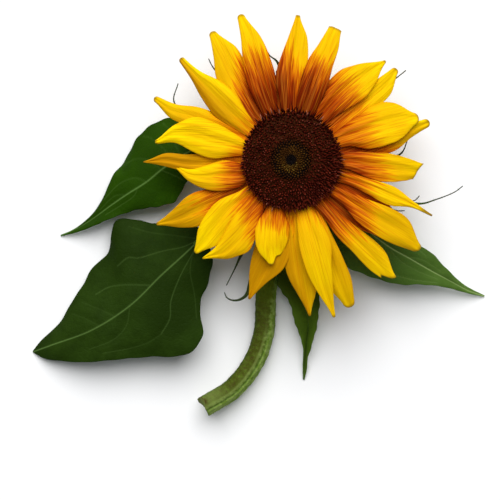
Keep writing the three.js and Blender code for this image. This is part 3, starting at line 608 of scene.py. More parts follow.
class Skin:
    """A node material round one Principled shader, whose colour is laid on coat by coat."""

    def __init__(self, name, roughness, shine, colour=None):
        self.material = bpy.data.materials.new(name)
        self.material.use_nodes = True
        self.tree = self.material.node_tree
        self.shader = next(n for n in self.tree.nodes if n.type == "BSDF_PRINCIPLED")
        self.shader.inputs["Roughness"].default_value = roughness
        self.shader.inputs["Specular IOR Level"].default_value = shine
        self.place = self.node("ShaderNodeTexCoord").outputs["Object"]
        self.colour = colour

    def node(self, kind, **settings):
        node = self.tree.nodes.new(kind)
        for key, value in settings.items():
            setattr(node, key, value)
        return node

    def feed(self, socket, value):
        """Links or sets a socket; a colour may be given by its code."""
        if isinstance(value, bpy.types.NodeSocket):
            self.tree.links.new(value, socket)
        else:
            socket.default_value = linear(value) if isinstance(value, str) else value

    def given(self, *names):
        """The values that the mesh gives for each point."""
        return [self.node("ShaderNodeAttribute", attribute_name=n).outputs["Fac"] for n in names]

    def math(self, operation, a, b=0.0, clamp=False):
        node = self.node("ShaderNodeMath", operation=operation, use_clamp=clamp)
        self.feed(node.inputs[0], a)
        self.feed(node.inputs[1], b)
        return node.outputs[0]

    def times(self, *factors):
        product = factors[0]
        for factor in factors[1:]:
            product = self.math("MULTIPLY", product, factor)
        return product

    def sum(self, *parts):
        total = parts[0]
        for part in parts[1:]:
            total = self.math("ADD", total, part)
        return total

    def step(self, low, high, value):
        """0 below low and 1 above high, with a smooth way between; low may be above high."""
        node = self.node("ShaderNodeMapRange", interpolation_type="SMOOTHSTEP")
        self.feed(node.inputs["Value"], value)
        self.feed(node.inputs["From Min"], low)
        self.feed(node.inputs["From Max"], high)
        return node.outputs["Result"]

    def noise(self, scale, detail=2.0, roughness=0.5, place=None):
        node = self.node("ShaderNodeTexNoise")
        self.feed(node.inputs["Vector"], self.place if place is None else place)
        self.feed(node.inputs["Scale"], scale)
        self.feed(node.inputs["Detail"], detail)
        self.feed(node.inputs["Roughness"], roughness)
        return node.outputs["Fac"]

    def grain(self, x, y, z, detail, roughness=0.5):
        """Noise over three coordinates of its own."""
        node = self.node("ShaderNodeCombineXYZ")
        for socket, value in zip(node.inputs, (x, y, z)):
            self.feed(socket, value)
        return self.noise(1.0, detail, roughness, node.outputs[0])

    def cells(self, scale):
        node = self.node("ShaderNodeTexVoronoi", feature="DISTANCE_TO_EDGE")
        self.feed(node.inputs["Vector"], self.place)
        self.feed(node.inputs["Scale"], scale)
        return node.outputs["Distance"]

    def blend(self, share, a, b):
        node = self.node("ShaderNodeMix", data_type="RGBA")
        self.feed(node.inputs["Factor"], share)
        colours = [socket for socket in node.inputs if socket.type == "RGBA"]
        self.feed(colours[0], a)
        self.feed(colours[1], b)
        return next(socket for socket in node.outputs if socket.type == "RGBA")

    def ramp(self, value, stops):
        """A colour between the stops, a list of (place from 0 to 1, colour)."""
        node = self.node("ShaderNodeValToRGB")
        self.feed(node.inputs["Fac"], value)
        elements = node.color_ramp.elements
        while len(elements) < len(stops):
            elements.new(1.0)
        for element, (place, colour) in zip(elements, stops):
            element.position = place
            element.color = linear(colour)
        return node.outputs["Color"]

    def coat(self, colour, *shares):
        """Lays a colour over the one so far, as strongly as the product of the shares."""
        self.colour = self.blend(self.times(*shares), self.colour, colour)

    def done(self, height, depth_mm):
        """Paints the shader, gives it its fine relief and returns the material."""
        node = self.node("ShaderNodeBump")
        self.feed(node.inputs["Height"], height)
        node.inputs["Distance"].default_value = depth_mm * MM
        self.feed(self.shader.inputs["Normal"], node.outputs["Normal"])
        self.feed(self.shader.inputs["Base Color"], self.colour)
        return self.material


# Ray florets

def end_gap(ray, across):
    """How far the end of a ray floret falls short of its reach."""
    if "gaps" in ray:
        return along(ray["gaps"], (across + 1) / 2)
    half = (ray["left"][-1] + ray["right"][-1]) / 2
    return half * (1 - np.sqrt(np.clip(1 - across * across, 0, 1)))


def ray_relief(share, across, index):
    """The upright relief of a ray floret, and the pattern of its sharp ridges."""
    draw = np.random.default_rng(RIDGE_SEED + index)
    fade = np.minimum(1, share / RIDGE_START)
    pleat = -RIDGE_RISE * np.cos(across * 2 * math.pi) * (1 - share * RIDGE_FADE)
    lines = 0
    for place in RIDGE_PLACES:
        line = (place + draw.uniform(-0.1, 0.1)) * (1 - 0.3 * share)
        strength = draw.uniform(0.3, 1.0)
        lines = lines + strength * np.exp(-(((across - line) / RIDGE_WIDTH) ** 2))
    veins = np.cos(across * PETAL_VEINS + index)
    margin = draw.uniform(-0.9, 0.7) * np.abs(across) ** 4 * np.sin(math.pi * np.clip(share, 0, 1))
    rumple = ripple(share * 9, across * 1.6, index + RUMPLE_SEED) * share
    sharp = (RIDGE_HEIGHT * lines + 0.05 * veins) * (1 - share**3)
    return fade * (pleat + sharp) + margin + PETAL_RUMPLE * rumple, lines


def ray_middle(ray, index):
    """The middle face of one ray floret as a grid of points, with the values for its colours."""
    rows, columns = PETAL_MESH
    share = (1 - (1 - np.linspace(0, 1, rows + 1)) ** TIP_PACKING)[:, None]
    across = np.linspace(-1, 1, columns + 1)[None, :]
    swing = math.radians(ray["end"] - ray["start"])
    radius = mix(RAY_ROOT_RADIUS, ray["reach"], share)
    angle = math.radians(ray["start"]) + swing * share
    heading = angle + np.arctan(swing / (ray["reach"] - RAY_ROOT_RADIUS) * radius)
    left = along((RAY_ROOT_HALF, *ray["left"]), share)
    right = along((RAY_ROOT_HALF, *ray["right"]), share)
    aside = mix(-right, left, (across + 1) / 2)
    aside = aside * (1 + 0.03 * ripple(share * 14, across * 0.3, index + EDGE_SEED) * share)
    gap = end_gap(ray, across) * share**END_REACH
    relief, ridges = ray_relief(share, across, index)
    arched = min(1, (ray["reach"] - RAY_ROOT_RADIUS) / ARCHED_LENGTH)
    arch = RAY_ARCH * (1 + ray["whorl"]) * arched * np.sin(math.pi * share)
    height = RAY_LAYERS[ray["whorl"]] + arch - ray["drop"] * share**2
    height = height + RAY_LEAN * math.sin(index * GOLDEN_ANGLE) * aside * share + relief
    x = radius * np.cos(angle) - np.sin(heading) * aside - np.cos(heading) * gap
    y = radius * np.sin(angle) + np.cos(heading) * aside - np.sin(heading) * gap
    values = {"share": share, "across": across, "aside": aside, "ridge": ridges}
    return np.stack([x, y, height], axis=2), values


def ray_florets(material):
    shape = Shape()
    inner, bottom = BOSS_RADIUS + CLEARANCE, LEDGE_HEIGHT + CLEARANCE
    foot = [(inner, bottom), (RAY_RING_OUTER, bottom)]
    ring = [*foot, (RAY_RING_OUTER, BOSS_HEIGHT), (inner, BOSS_HEIGHT), foot[0]]
    turned(shape, ring, 72, rust=1.0, deep=1.0)
    for index, row in enumerate(RAYS):
        ray = dict(zip(RAY_NAMES, row))
        middle, values = ray_middle(ray, index)
        values |= {name: ray[name] for name in ("rust", "deep", "lean", "tone", "side")}
        values["dried"] = float(ray["start"] == DRIED_RAY)
        blade(shape, middle, PETAL_THICKNESS, seed=index * 1.37, **values)
    return shape.build("ray_petals", material)


def petal_heat(skin, streak, fine, out):
    """How deep the rust is, from 0 to 1, and how near the golden front in which it fades is."""
    share, across, rust, deep, lean = skin.given("share", "across", "rust", "deep", "lean")
    fine = skin.sum(fine, -0.5)
    streaked = skin.sum(skin.times(skin.sum(streak, -0.5), 0.5), skin.times(fine, 0.4))
    room = skin.sum(rust, skin.times(lean, across), streaked, skin.times(share, -1.0))
    lighter_root = skin.sum(1.0, skin.times(skin.step(0.16, 0.04, share), -0.25))
    heat = skin.times(skin.step(-0.16, 0.42, room), deep, lighter_root)
    warm = skin.step(0.08, 0.5, heat)
    # Painted shade: the margins near the disc turn a deeper rust where the florets shade one another.
    margin = skin.times(skin.step(0.55, 1.0, out), skin.step(0.6, 0.1, share), warm, 0.35)
    rippled = skin.times(warm, fine, 1.1)
    heat = skin.math("ADD", heat, skin.sum(margin, rippled), clamp=True)
    return heat, skin.step(-0.55, -0.1, room)


def petal_yellow(skin, streak, fine, out, front):
    """Turns the yellow golden in streaks, at the margins and near the rust, and amber, partly as
    painted shade.
    """
    across, tone, side = skin.given("across", "tone", "side")
    broad_gold = skin.times(skin.step(0.4, 0.75, skin.noise(45.0)), 0.3)
    margin_gold = skin.times(skin.step(0.78, 1.0, out), 0.35)
    fine_gold = skin.times(skin.step(0.45, 0.75, fine), 0.4)
    gold = skin.sum(broad_gold, margin_gold, fine_gold, skin.times(front, 0.45))
    sideways = skin.sum(skin.times(side, across, 1.2), 1.0)
    skin.coat(GOLD, gold)
    # Painted shade in part: amber on florets shaded by those above, more so on one half by side.
    skin.coat(AMBER_SHADE, tone, sideways, skin.sum(skin.times(streak, 0.6), 0.7))


def petal_skin():
    skin = Skin("petal_skin", 0.6, 0.02, YELLOW)
    share, across, aside, seed = skin.given("share", "across", "aside", "seed")
    ridge, dried = skin.given("ridge", "dried")
    out = skin.math("ABSOLUTE", across)
    streak = skin.grain(skin.times(share, 2.2), skin.times(aside, 0.9), seed, 3.0, 0.6)
    fine = skin.grain(skin.times(share, 5.0), skin.times(aside, 3.2), seed, 2.0)
    fibre = skin.grain(skin.times(share, 1.5), skin.times(aside, 1.9), seed, 1.0)
    heat, front = petal_heat(skin, streak, fine, out)
    petal_yellow(skin, streak, fine, out, front)
    skin.coat(skin.ramp(heat, RUST_FADE), skin.step(0.0, 0.15, heat))
    # Painted shade: fine dark crease lines along the florets.
    skin.coat(PETAL_CREASE_SHADE, skin.step(0.42, 0.3, fibre), skin.step(1.0, 0.75, share), 0.4)
    # Painted highlight: pale lines along the ridges, over the rust.
    ridge = skin.times(skin.step(0.3, 0.9, ridge), 0.22)
    ridge = skin.sum(ridge, skin.times(skin.step(0.54, 0.68, fibre), 0.17))
    skin.coat(PETAL_RIDGE_HIGHLIGHT, ridge, skin.step(0.1, 0.5, heat))
    skin.coat(PETAL_ROOT, skin.step(0.1, 0.02, share), 0.4)
    skin.coat(PETAL_TIP, skin.step(0.965, 1.0, share), 0.7)
    skin.coat(PETAL_TIP, skin.step(0.84, 0.93, share), dried, 0.8)
    return skin.done(skin.sum(streak, skin.times(fine, 0.6)), 0.25)


# Disc

def disc_height(radius):
    return DISC_RIM_HEIGHT + DISC_DOME * (1 - (radius / DISC_RADIUS) ** 2)


def spiral():
    """One spiral of florets from the middle to the rim: their radii and outward ways."""
    number = np.arange(CENTRE_FLORETS + DISC_FLORETS) + 0.5
    centre = CENTRE_RADIUS**2 * number / CENTRE_FLORETS
    rest = (number - CENTRE_FLORETS) / DISC_FLORETS
    disc = mix(CENTRE_RADIUS**2, (DISC_RADIUS - DISC_INSET) ** 2, rest)
    return np.sqrt(np.where(rest < 0, centre, disc)), around(number * GOLDEN_ANGLE, 1.0)


def under_florets(inner, outer, rows):
    """Profile points of the face that the florets stand on, from the outside in."""
    return [(radius, disc_height(radius) - 0.6) for radius in np.linspace(outer, inner, rows)]


def disc_florets(material):
    shape = Shape()
    base = BOSS_HEIGHT + CLEARANCE
    rim = DISC_RADIUS - DISC_INSET - 0.4
    foot = [(CENTRE_RADIUS, base), (BOSS_RADIUS + 2, base), (rim, base + 1.8)]
    turned(shape, [*foot, *under_florets(CENTRE_RADIUS, rim, 14), foot[0]], 96)
    radius, outward = (values[CENTRE_FLORETS:] for values in spiral())
    count = len(radius)
    roots = outward * radius[:, None] + RANDOM.normal(0, 1, (count, 3)) * [0.22, 0.22, 0.12]
    roots[:, 2] += disc_height(radius) - FLORET_SINK
    clump = ripple(roots[:, 0] * 0.55, roots[:, 1] * 0.55, CLUMP_SEED, 9)
    rimward = smooth(17, DISC_RADIUS, radius)
    towards = outward @ around(math.radians(DISC_COMBED), 1.0)
    combed = 0.9 * smooth(0.2, 0.9, towards) * smooth(11, 15, radius)
    lean = mix(0.1, 0.75, rimward) + combed
    ways = outward * lean[:, None] + [0, 0, 1] + RANDOM.normal(0, 0.2, (count, 3))
    lengths = FLORET_LENGTH + 0.6 * combed + 0.45 * clump * mix(0.5, 1, rimward) + 0.5 * rimward
    lengths = lengths + RANDOM.normal(0, 0.3, count)
    girths = RANDOM.uniform(0.4, 0.62, count)
    bud = [(0.0, 0.8), (0.5, 1.0), (0.78, 0.7), (0.93, 0.3)]
    tint = RANDOM.uniform(0, 1, count)
    spikes(shape, roots, ways, lengths, girths, bud, tint=tint, far=radius)
    rim_spikes(shape)
    return shape.build("disc_spikes", material)


def rim_spikes(shape):
    """The pointed chaff round the disc's rim, in uneven tufts that are longest at the top."""
    for count, lean, length, paleness in RIM_ROWS:
        angle = (np.arange(count) + RANDOM.uniform(0, 1.2, count)) / count * 2 * math.pi
        radius = DISC_RADIUS - DISC_INSET - 0.9 + RANDOM.uniform(-1.0, 0.5, count)
        outward = around(angle, 1.0)
        roots = outward * radius[:, None]
        roots[:, 2] += DISC_RIM_HEIGHT - 0.5
        ways = outward * lean + [0, 0, 0.65] + RANDOM.normal(0, 0.3, (count, 3))
        tufts = 0.95 + 0.15 * np.sin(angle) + 0.12 * np.cos(angle) - 0.2 * np.cos(2 * angle)
        uneven = ripple(np.cos(angle) * 9, np.sin(angle) * 9, TUFT_SEED, 7)
        lengths = length * RANDOM.uniform(0.4, 1.1, count) * np.clip(tufts + 0.42 * uneven, 0.3, 1.5)
        girths = RANDOM.uniform(0.3, 0.5, count)
        scale = [(0.0, 0.8), (0.35, 1.0), (0.7, 0.5)]
        spikes(shape, roots, ways, lengths, girths, scale, tint=paleness, far=radius)


def floret_skin(name, roughness, dark, tip_colour, fleck):
    """Dark florets with lighter tips, some of them flecked."""
    skin = Skin(name, roughness, 0.02, dark)
    tint, height = skin.given("tint", "height")
    cloudy = skin.step(0.2, 0.7, skin.noise(190.0, 3.0))
    skin.coat(tip_colour, skin.step(0.45, 0.95, height), cloudy, skin.step(-0.2, 0.8, tint))
    skin.coat(fleck, skin.step(0.8, 0.98, tint), skin.step(0.7, 0.98, height), 0.42)
    return skin


def disc_skin():
    skin = floret_skin("disc_skin", 0.7, DISC_DARK, DISC_MAROON, DISC_PINK)
    tint, height, far = skin.given("tint", "height", "far")
    skin.coat(DISC_PALE, skin.step(1.5, 1.9, tint), skin.step(0.2, 0.8, height), 0.75)
    skin.coat(CENTRE_BASE, skin.step(12.0, 9.5, far), 0.6)
    return skin.done(skin.noise(1500.0, 3.0), 0.12)


def centre_buds(material):
    shape = Shape()
    base = BOSS_HEIGHT + CLEARANCE
    foot = [(AXIS_RADIUS, base), (CENTRE_RADIUS, base)]
    turned(shape, [*foot, *under_florets(AXIS_RADIUS, CENTRE_RADIUS, 10), foot[0]], 64)
    radius, outward = (values[:CENTRE_FLORETS] for values in spiral())
    roots = outward * radius[:, None]
    roots[:, 2] += disc_height(radius) - FLORET_SINK
    inward = -outward * (0.95 * smooth(1.5, 4.5, radius) * smooth(9, 6.5, radius))[:, None]
    ways = inward + [0, 0, 1] + RANDOM.normal(0, 0.1, (CENTRE_FLORETS, 3))
    lengths = 1.5 + 0.9 * smooth(2, 6, radius) + RANDOM.normal(0, 0.1, CENTRE_FLORETS)
    girths = 0.36 + 0.14 * smooth(0, 9, radius)
    # Painted highlight: florets just below the middle get paler tips and ticks, those above fewer.
    below = np.clip(-outward[:, 1], 0, 1) ** 1.5 * smooth(2.5, 4, radius) * smooth(9, 6, radius)
    above = np.clip(outward[:, 1], 0, 1) * smooth(2.5, 5, radius)
    tint = np.clip(RANDOM.uniform(0, 0.85, CENTRE_FLORETS) + 0.4 * below - 0.3 * above, 0, 1)
    bud = [(0.0, 0.8), (0.5, 1.0), (0.8, 0.7)]
    spikes(shape, roots, ways, lengths, girths, bud, 6, tint=tint, far=radius)
    return shape.build("centre_bud_tips", material)


def centre_skin():
    skin = floret_skin("centre_skin", 0.65, CENTRE_BASE, CENTRE_OLIVE, CENTRE_TICK)
    [far] = skin.given("far")
    skin.coat(DISC_DARK, skin.step(7.5, 10.0, far), 0.6)
    skin.coat(CENTRE_DARK, skin.step(4.2, 2.4, far))
    return skin.done(skin.noise(1500.0), 0.08)


# Head back with its bracts

def bract_routes():
    """The route, tip height and taper of every bract, the long-tipped and the shorter ones."""
    bracts = list(LONG_BRACTS)
    for i in range(SHORT_BRACTS):
        start = i * 360 / SHORT_BRACTS
        turn = math.radians(start + SHORT_BRACT_SWING * math.cos(i * GOLDEN_ANGLE))
        reach = SHORT_BRACT_REACH + SHORT_BRACT_VARY * math.sin(i * GOLDEN_ANGLE)
        bracts.append((start, [around(turn, reach)[:2]], SHORT_BRACT_HEIGHT, SHORT_BRACT_TAPER))
    for start, path, tip_height, taper in bracts:
        root = around(math.radians(start), BRACT_ROOT_RADIUS)[:2]
        yield Route([root, *path]), tip_height, taper


def bract_middle(route, tip_height, fineness):
    rows, columns = BRACT_MESH
    share = np.linspace(0, 1, rows + 1)[:, None]
    across = np.linspace(-1, 1, columns + 1)[None, :]
    narrowing = np.clip((1 - share) / (1 - BRACT_WIDEST), 0, 1) ** fineness
    widening = mix(BRACT_ROOT_SHARE, 1, share / BRACT_WIDEST)
    taper = np.where(share < BRACT_WIDEST, widening, narrowing)
    aside = (BRACT_HALF * taper + BRACT_TIP_HALF) * across
    sag = BRACT_SAG * np.sin(math.pi * share) - BRACT_CUP * np.abs(across) ** 1.5 * taper
    point = route.point(share)
    ahead = route.ahead(share)
    x = point[..., 0] - ahead[..., 1] * aside
    y = point[..., 1] + ahead[..., 0] * aside
    return np.stack([x, y, mix(BRACT_ROOT_HEIGHT, tip_height, share) - sag], axis=2)


def bract_hairs(shape, middle):
    """Fine bristles along both margins of one bract."""
    rows, columns = middle.shape[:2]
    places = np.linspace(2, rows - 3, BRACT_HAIRS // 2).astype(int)
    for side in (0, -1):
        roots = middle[places, side]
        outward = unit(roots - middle[places, columns // 2])
        ahead = unit(middle[places + 1, side] - roots)
        ways = outward + ahead * 0.8 + RANDOM.normal(0, 0.2, (len(places), 3))
        bristles(shape, roots, ways, RANDOM.uniform(0.6, 1.3, len(places)), 0.07)


def bristles(shape, roots, ways, lengths, radii):
    radii = np.broadcast_to(radii, len(roots))
    spikes(shape, roots, ways, lengths, radii, [(0.0, 1.0), (0.45, 0.65)], 3, hair=1.0)


def receptacle(material):
    shape = Shape()
    curved = Route(DISH).point(np.linspace(0, 1, 30))
    axis = [(AXIS_RADIUS, BOSS_HEIGHT), (AXIS_RADIUS, DISH[0][1])]
    shelf = [(BOSS_RADIUS, LEDGE_HEIGHT), (BOSS_RADIUS, BOSS_HEIGHT)]
    turned(shape, [axis[1], *curved, *shelf, *axis], 96)
    share = np.linspace(0, 1, BRACT_MESH[0] + 1)[:, None]
    across = np.linspace(-1, 1, BRACT_MESH[1] + 1)[None, :]
    for bract in bract_routes():
        middle = bract_middle(*bract)
        blade(shape, middle, BRACT_THICKNESS, share=share, across=across)
        bract_hairs(shape, middle)
    return shape.build("head_back_bracts", material)


def bract_skin():
    skin = Skin("bract_skin", 0.6, 0.08, BRACT_GREEN)
    share, across, hair = skin.given("share", "across", "hair")
    skin.coat(BRACT_TIP, skin.step(0.3, 0.7, skin.noise(120.0, 3.0)), 0.5)
    skin.coat(BRACT_RIB, skin.step(0.16, 0.02, skin.math("ABSOLUTE", across)), 0.35)
    skin.coat(BRACT_TIP, skin.step(0.45, 0.9, share))
    skin.coat(BRACT_HAIR, hair, 0.6)
    return skin.done(skin.noise(900.0, 3.0), 0.15)


# Stem

def stem_radius(share, angle):
    radius = mix(STEM_RADIUS, STEM_NECK_RADIUS, share**STEM_NECK_LATE)
    shown = smooth(*STEM_RIBS_SHOW, share)
    ribs = STEM_RIB_DEPTH * mix(0.12, 0.6, shown) * np.cos(STEM_RIBS * angle)
    ribs = ribs + 0.06 * np.cos(STEM_RIBS * 3 * angle + 2 * share)
    groove = -0.35 * shown * np.exp(-(((angle - STEM_GROOVE_TURN) / 0.1) ** 2))
    ridge = 0.18 * shown * np.exp(-(((angle - STEM_RIDGE_TURN) / 0.18) ** 2))
    lumps = 0.09 * np.sin(share * 190 + 3 * np.sin(angle * 2)) + 0.07 * np.sin(share * 77 + angle * 5)
    rough = 0.07 * np.sin(share * 431 + angle * 11) * np.sin(angle * 7 + share * 90)
    return radius + ribs + groove + ridge + lumps + rough


def cut_end(angle):
    """How far the cut end reaches past its middle: two lobes with a notch between them."""
    lobes = 0.9 * np.cos(2 * (angle - CUT_LOBE_TURN))
    return lobes + 0.25 * np.sin(5 * angle + 1) + 0.15 * np.sin(11 * angle)


def stem(material):
    shape = Shape()
    steps, sides = STEM_MESH
    route = Route(STEM_ROUTE)
    skin = tube(shape, route, sides, steps, stem_radius, HEAD_BACK, cut_end)
    row = RANDOM.integers(4, steps - 4, STEM_HAIRS)
    roots = skin[row, RANDOM.integers(0, sides, STEM_HAIRS)]
    above = roots[:, 2] > 0.8
    roots, row = roots[above], row[above]
    outward = unit(roots - route.point(row / steps))
    ways = outward - 0.3 * route.ahead(row / steps) + RANDOM.normal(0, 0.25, roots.shape)
    lengths = RANDOM.uniform(0.3, 0.9, len(roots))
    bristles(shape, roots - outward * 0.1, ways, lengths, 0.05 + lengths * 0.04)
    return shape.build("stem_ribbed", material)


def stem_olive(skin, cloud, flecks, across):
    """The mottled olive of the stem's left, with brown flecks."""
    olive = skin.blend(skin.times(skin.step(0.4, 0.75, cloud), 0.5), STEM_OLIVE, STEM_GREEN)
    leftward = skin.sum(skin.times(skin.step(0.5, -0.8, across), 0.5), 0.35)
    return skin.blend(skin.times(skin.step(0.44, 0.68, flecks), leftward), olive, STEM_BROWN)


def stem_skin():
    skin = Skin("stem_skin", 0.6, 0.04, STEM_GREEN)
    share, turn, hair = skin.given("share", "turn", "hair")
    cloud = skin.noise(330.0, 4.0, 0.65)
    flecks = skin.grain(skin.times(share, 130.0), skin.times(turn, 2.4), 0.0, 3.0, 0.65)
    across = skin.sum(skin.math("COSINE", turn), skin.times(skin.sum(cloud, -0.5), 0.7))
    olive_end = skin.sum(skin.times(skin.step(0.3, 0.6, share), 0.5), 0.35)
    mottled = skin.step(0.2, -0.2, skin.math("SUBTRACT", across, olive_end))
    skin.coat(STEM_RIB, skin.step(0.35, 0.7, cloud))
    skin.coat(stem_olive(skin, cloud, flecks, across), mottled, 0.95)
    skin.coat(STEM_GROOVE, skin.step(-0.7, -1.05, across), 0.6)
    # Painted light: the upper stem is lighter and greener where the head's shadow falls.
    skin.coat(STEM_UPPER_PAINTED_LIGHT, skin.step(0.4, 0.55, share), 0.42)
    skin.coat(STEM_RIB, skin.step(0.12, 0.03, share), 0.3)
    shown = skin.step(*STEM_RIBS_SHOW, share)
    off_groove = skin.math("ABSOLUTE", skin.sum(turn, -STEM_GROOVE_TURN))
    off_ridge = skin.math("ABSOLUTE", skin.sum(turn, -STEM_RIDGE_TURN))
    skin.coat(STEM_RIB, skin.step(0.22, 0.02, off_ridge), shown, 0.4)
    skin.coat(STEM_GROOVE, skin.step(0.16, 0.02, off_groove), shown, 0.6)
    near_cut = skin.step(0.03, 0.0, share)
    skin.coat(STEM_BROWN, near_cut, skin.step(0.4, 0.6, cloud), skin.step(0.4, -0.3, across))
    skin.coat(STEM_PITH, skin.step(0.003, 0.0, share), 0.7)
    skin.coat(STEM_HAIR, hair, 0.4)
    fine = skin.noise(1300.0)
    return skin.done(skin.sum(skin.times(flecks, 1.2), skin.times(cloud, 1.2), fine), 0.3)


# Leaves

class LeafForm:
    """The middle face of a leaf: points at shares of its length and of its half widths."""

    def __init__(self, leaf):
        base, tip = leaf["rib"][0], leaf["rib"][-1]
        self.wave = leaf["wave"]
        self.rib = Route(leaf["rib"])
        self.left = Route([base, *leaf["left"], tip])
        self.right = Route([base, *leaf["right"], tip])

    def points(self, share, across):
        out = np.abs(across)
        middle = self.rib.point(share)
        ahead = self.rib.ahead(share)
        ahead[..., 2] = 0
        ahead = unit(ahead)
        edge = np.where((across >= 0)[..., None], self.left.point(share), self.right.point(share))
        teeth = LEAF_TOOTH * (1 - share) * np.sin(share * 75 + across) * out**12
        point = mix(middle, edge, out[..., None])
        aside = LEAF_RIM_HALF * across + teeth * np.sign(across)
        point[..., 0] -= ahead[..., 1] * aside
        point[..., 1] += ahead[..., 0] * aside
        wave = self.wave * across**2 * np.sin(share * LEAF_WAVES * 2 * math.pi)
        crown = LEAF_CROWN * np.sin(math.pi * out)
        point[..., 2] += (wave + crown) * np.sin(math.pi * share)
        return point


def distance_to(way, places):
    """The level distance of places from a route of points."""
    gap = np.full(len(places), 99.0)
    for a, b in zip(way, way[1:]):
        run = b - a
        t = np.clip(((places - a) @ run) / max(run @ run, 1e-9), 0, 1)
        gap = np.minimum(gap, np.linalg.norm(places - a - t[:, None] * run, axis=1))
    return gap


def vein_pattern(leaf, form, points):
    """How strongly each point shows a vein, and how far it is from one in vein widths."""
    places = points.reshape(-1, 3)[:, :2]
    lines = [(form.rib.point(np.linspace(0, 1, 80))[:, :2], RIB_STRENGTH)]
    lines += [(Route(way).point(np.linspace(0, 1, 40)), strength) for way, strength in leaf["veins"]]
    shown = np.zeros(len(places))
    near = np.full(len(places), 99.0)
    for way, strength in lines:
        gap = distance_to(way, places)
        width = 0.2 + 0.17 * strength
        shown = np.maximum(shown, strength * np.exp(-((gap / width) ** 2)))
        near = np.minimum(near, gap / (0.6 + 0.4 * strength))
    return shown.reshape(points.shape[:2]), near.reshape(points.shape[:2])


def leaf_piece(name, leaf, material):
    shape = Shape()
    rows, columns = leaf["mesh"]
    form = LeafForm(leaf)
    steps = np.linspace(0, 1, rows + 1), np.linspace(-1, 1, columns + 1)
    share, across = np.meshgrid(*steps, indexing="ij")
    points = form.points(share, across)
    shown, near = vein_pattern(leaf, form, points)
    inside = np.sin(math.pi * share) * (1 - np.abs(across) ** 4)
    puff = LEAF_PUFF * (1 - np.exp(-((near / LEAF_PUFF_WIDTH) ** 2)))
    rumple = LEAF_RUMPLE * ripple(points[..., 0] * 0.13, points[..., 1] * 0.13, len(name), 7)
    points[..., 2] = np.maximum(points[..., 2] + (puff + rumple) * inside, LIE)
    blade(shape, points, LEAF_THICKNESS, vein=shown)
    leaf_stalk(shape, leaf)
    return shape.build(name + "_blade", material)


def leaf_stalk(shape, leaf):
    """Adds the stalk from where it leaves the stem's skin to its end under the blade."""
    base, second = (np.array(point) for point in leaf["rib"][:2])
    stalk = Route([*leaf["stalk"], base - [0, 0, 1.2], second - [0, 0, 1.4]])
    stem_way = Route(STEM_ROUTE).samples
    shares = np.linspace(0, 1, 300)
    gaps = np.linalg.norm(stem_way[None] - stalk.point(shares)[:, None], axis=2).min(axis=1)
    start = shares[np.argmax(gaps > STEM_RADIUS - 0.4)]
    shown = Route(stalk.point(np.linspace(start, 1, 24)))
    tube(shape, shown, 20, 60, stalk_radius, vein=0.4, stalk=1.0)


def stalk_radius(share, angle):
    return STALK_RADIUS * mix(1, STALK_END_SHARE, share**1.5) * (1 + 0.08 * np.cos(3 * angle))


def leaf_skin(name, main, shade, vein_colour, shine):
    skin = Skin(name + "_leaf_skin", 0.5, shine, main)
    vein, back, stalk = skin.given("vein", "back", "stalk")
    blotch = skin.noise(130.0, 4.0, 0.6)
    fine = skin.noise(600.0, 3.0, 0.6)
    net = skin.step(0.0, 0.12, skin.cells(420.0))
    skin.coat(shade, skin.step(0.35, 0.65, skin.noise(32.0, 3.0)))
    skin.coat(shade, skin.step(0.4, 0.75, blotch), 0.75)
    skin.coat(shade, skin.step(0.35, 0.7, fine), 0.3)
    skin.coat(vein_colour, vein, 0.85)
    skin.coat(LEAF_BACK, back, 0.55)
    skin.coat(STALK_GREEN, stalk, 0.7)
    skin.feed(skin.shader.inputs["Roughness"], skin.sum(skin.times(fine, 0.2), 0.42))
    sunk = skin.times(vein, -1.2)
    return skin.done(skin.sum(skin.times(net, 0.3), fine, skin.times(blotch, 1.2), sunk), 0.22)


# Camera, lights and floor

PHOTO_PIXELS = 500
PHOTO_HEAD = (291, 160)
PIXEL_SIZE = 0.5
CAMERA_HEIGHT = 1200
FOCUS_HEIGHT = 48
SENSOR = 36.0
SUN_ELEVATION = 55
SUN_SPREAD = 60
SUN_STRENGTH = 3.74
SKY_STRENGTH = 0.21
SKY_COLOUR = (0.93, 0.965, 1.0, 1.0)
FLOOR_HALF = 3.0  # in metres, like the drop
FLOOR_DROP = 0.0002


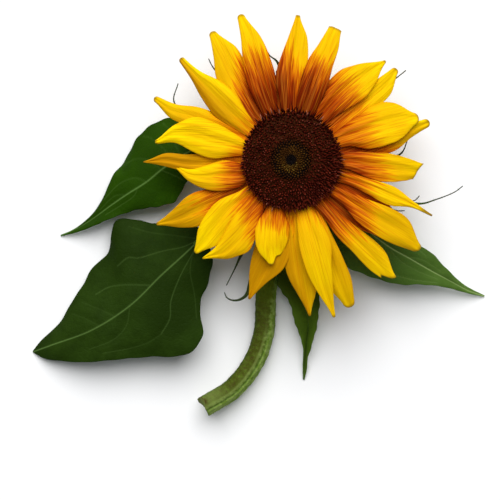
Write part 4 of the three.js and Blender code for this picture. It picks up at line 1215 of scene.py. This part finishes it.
def camera():
    data = bpy.data.cameras.new("camera")
    data.sensor_width = SENSOR
    data.lens = SENSOR * (CAMERA_HEIGHT - FOCUS_HEIGHT) / (PHOTO_PIXELS * PIXEL_SIZE)
    data.clip_start = 0.05
    data.clip_end = 10
    eye = new_object("camera", data)
    centre = PHOTO_PIXELS / 2
    offset = np.array([centre - PHOTO_HEAD[0], PHOTO_HEAD[1] - centre, 0]) * PIXEL_SIZE
    eye.location = (offset + [0, 0, CAMERA_HEIGHT]) * MM + HEAD_AXIS
    bpy.context.scene.camera = eye


def lights():
    data = bpy.data.lights.new("window", "SUN")
    data.energy = SUN_STRENGTH
    data.angle = math.radians(SUN_SPREAD)
    lamp = new_object("window", data)
    lamp.rotation_euler = (math.radians(SUN_ELEVATION - 90), 0, 0)
    world = bpy.data.worlds.new("studio")
    world.use_nodes = True
    ground = next(n for n in world.node_tree.nodes if n.type == "BACKGROUND")
    ground.inputs["Color"].default_value = SKY_COLOUR
    ground.inputs["Strength"].default_value = SKY_STRENGTH
    bpy.context.scene.world = world
    bpy.context.scene.view_settings.view_transform = "Standard"


def floor():
    mesh = bpy.data.meshes.new("floor")
    side = FLOOR_HALF
    corners = [(-side, -side, 0), (side, -side, 0), (side, side, 0), (-side, side, 0)]
    mesh.from_pydata(corners, [], [(0, 1, 2, 3)])
    skin = Skin("floor_paint", 0.9, 0.0)
    paint = skin.blend(skin.noise(30.0), FLOOR_WHITE, FLOOR_GREY)
    skin.feed(skin.shader.inputs["Base Color"], paint)
    mesh.materials.append(skin.material)
    thing = new_object("floor", mesh)
    thing.location.z = -FLOOR_DROP
    thing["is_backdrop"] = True


def dress(piece, node, slot):
    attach(piece, "root")
    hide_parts(node)


def main():
    camera()
    lights()
    floor()
    dress(ray_florets(petal_skin()), "ray_florets", "petal")
    dress(disc_florets(disc_skin()), "disc_florets", "disc")
    dress(centre_buds(centre_skin()), "centre_buds", "bud")
    dress(receptacle(bract_skin()), "receptacle", "bract_green")
    dress(stem(stem_skin()), "stem", "stem_skin")
    skins = {name: leaf_skin(name, *values) for name, values in LEAF_COLOURS.items()}
    for name, leaf in LEAVES.items():
        dress(leaf_piece(name, leaf, skins[leaf["skin"]]), name, leaf["slot"])
    sizes = {"cad": CAD_BOX, "visual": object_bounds()}
    plain = {name: [[float(v) for v in corner] for corner in box] for name, box in sizes.items()}


main()
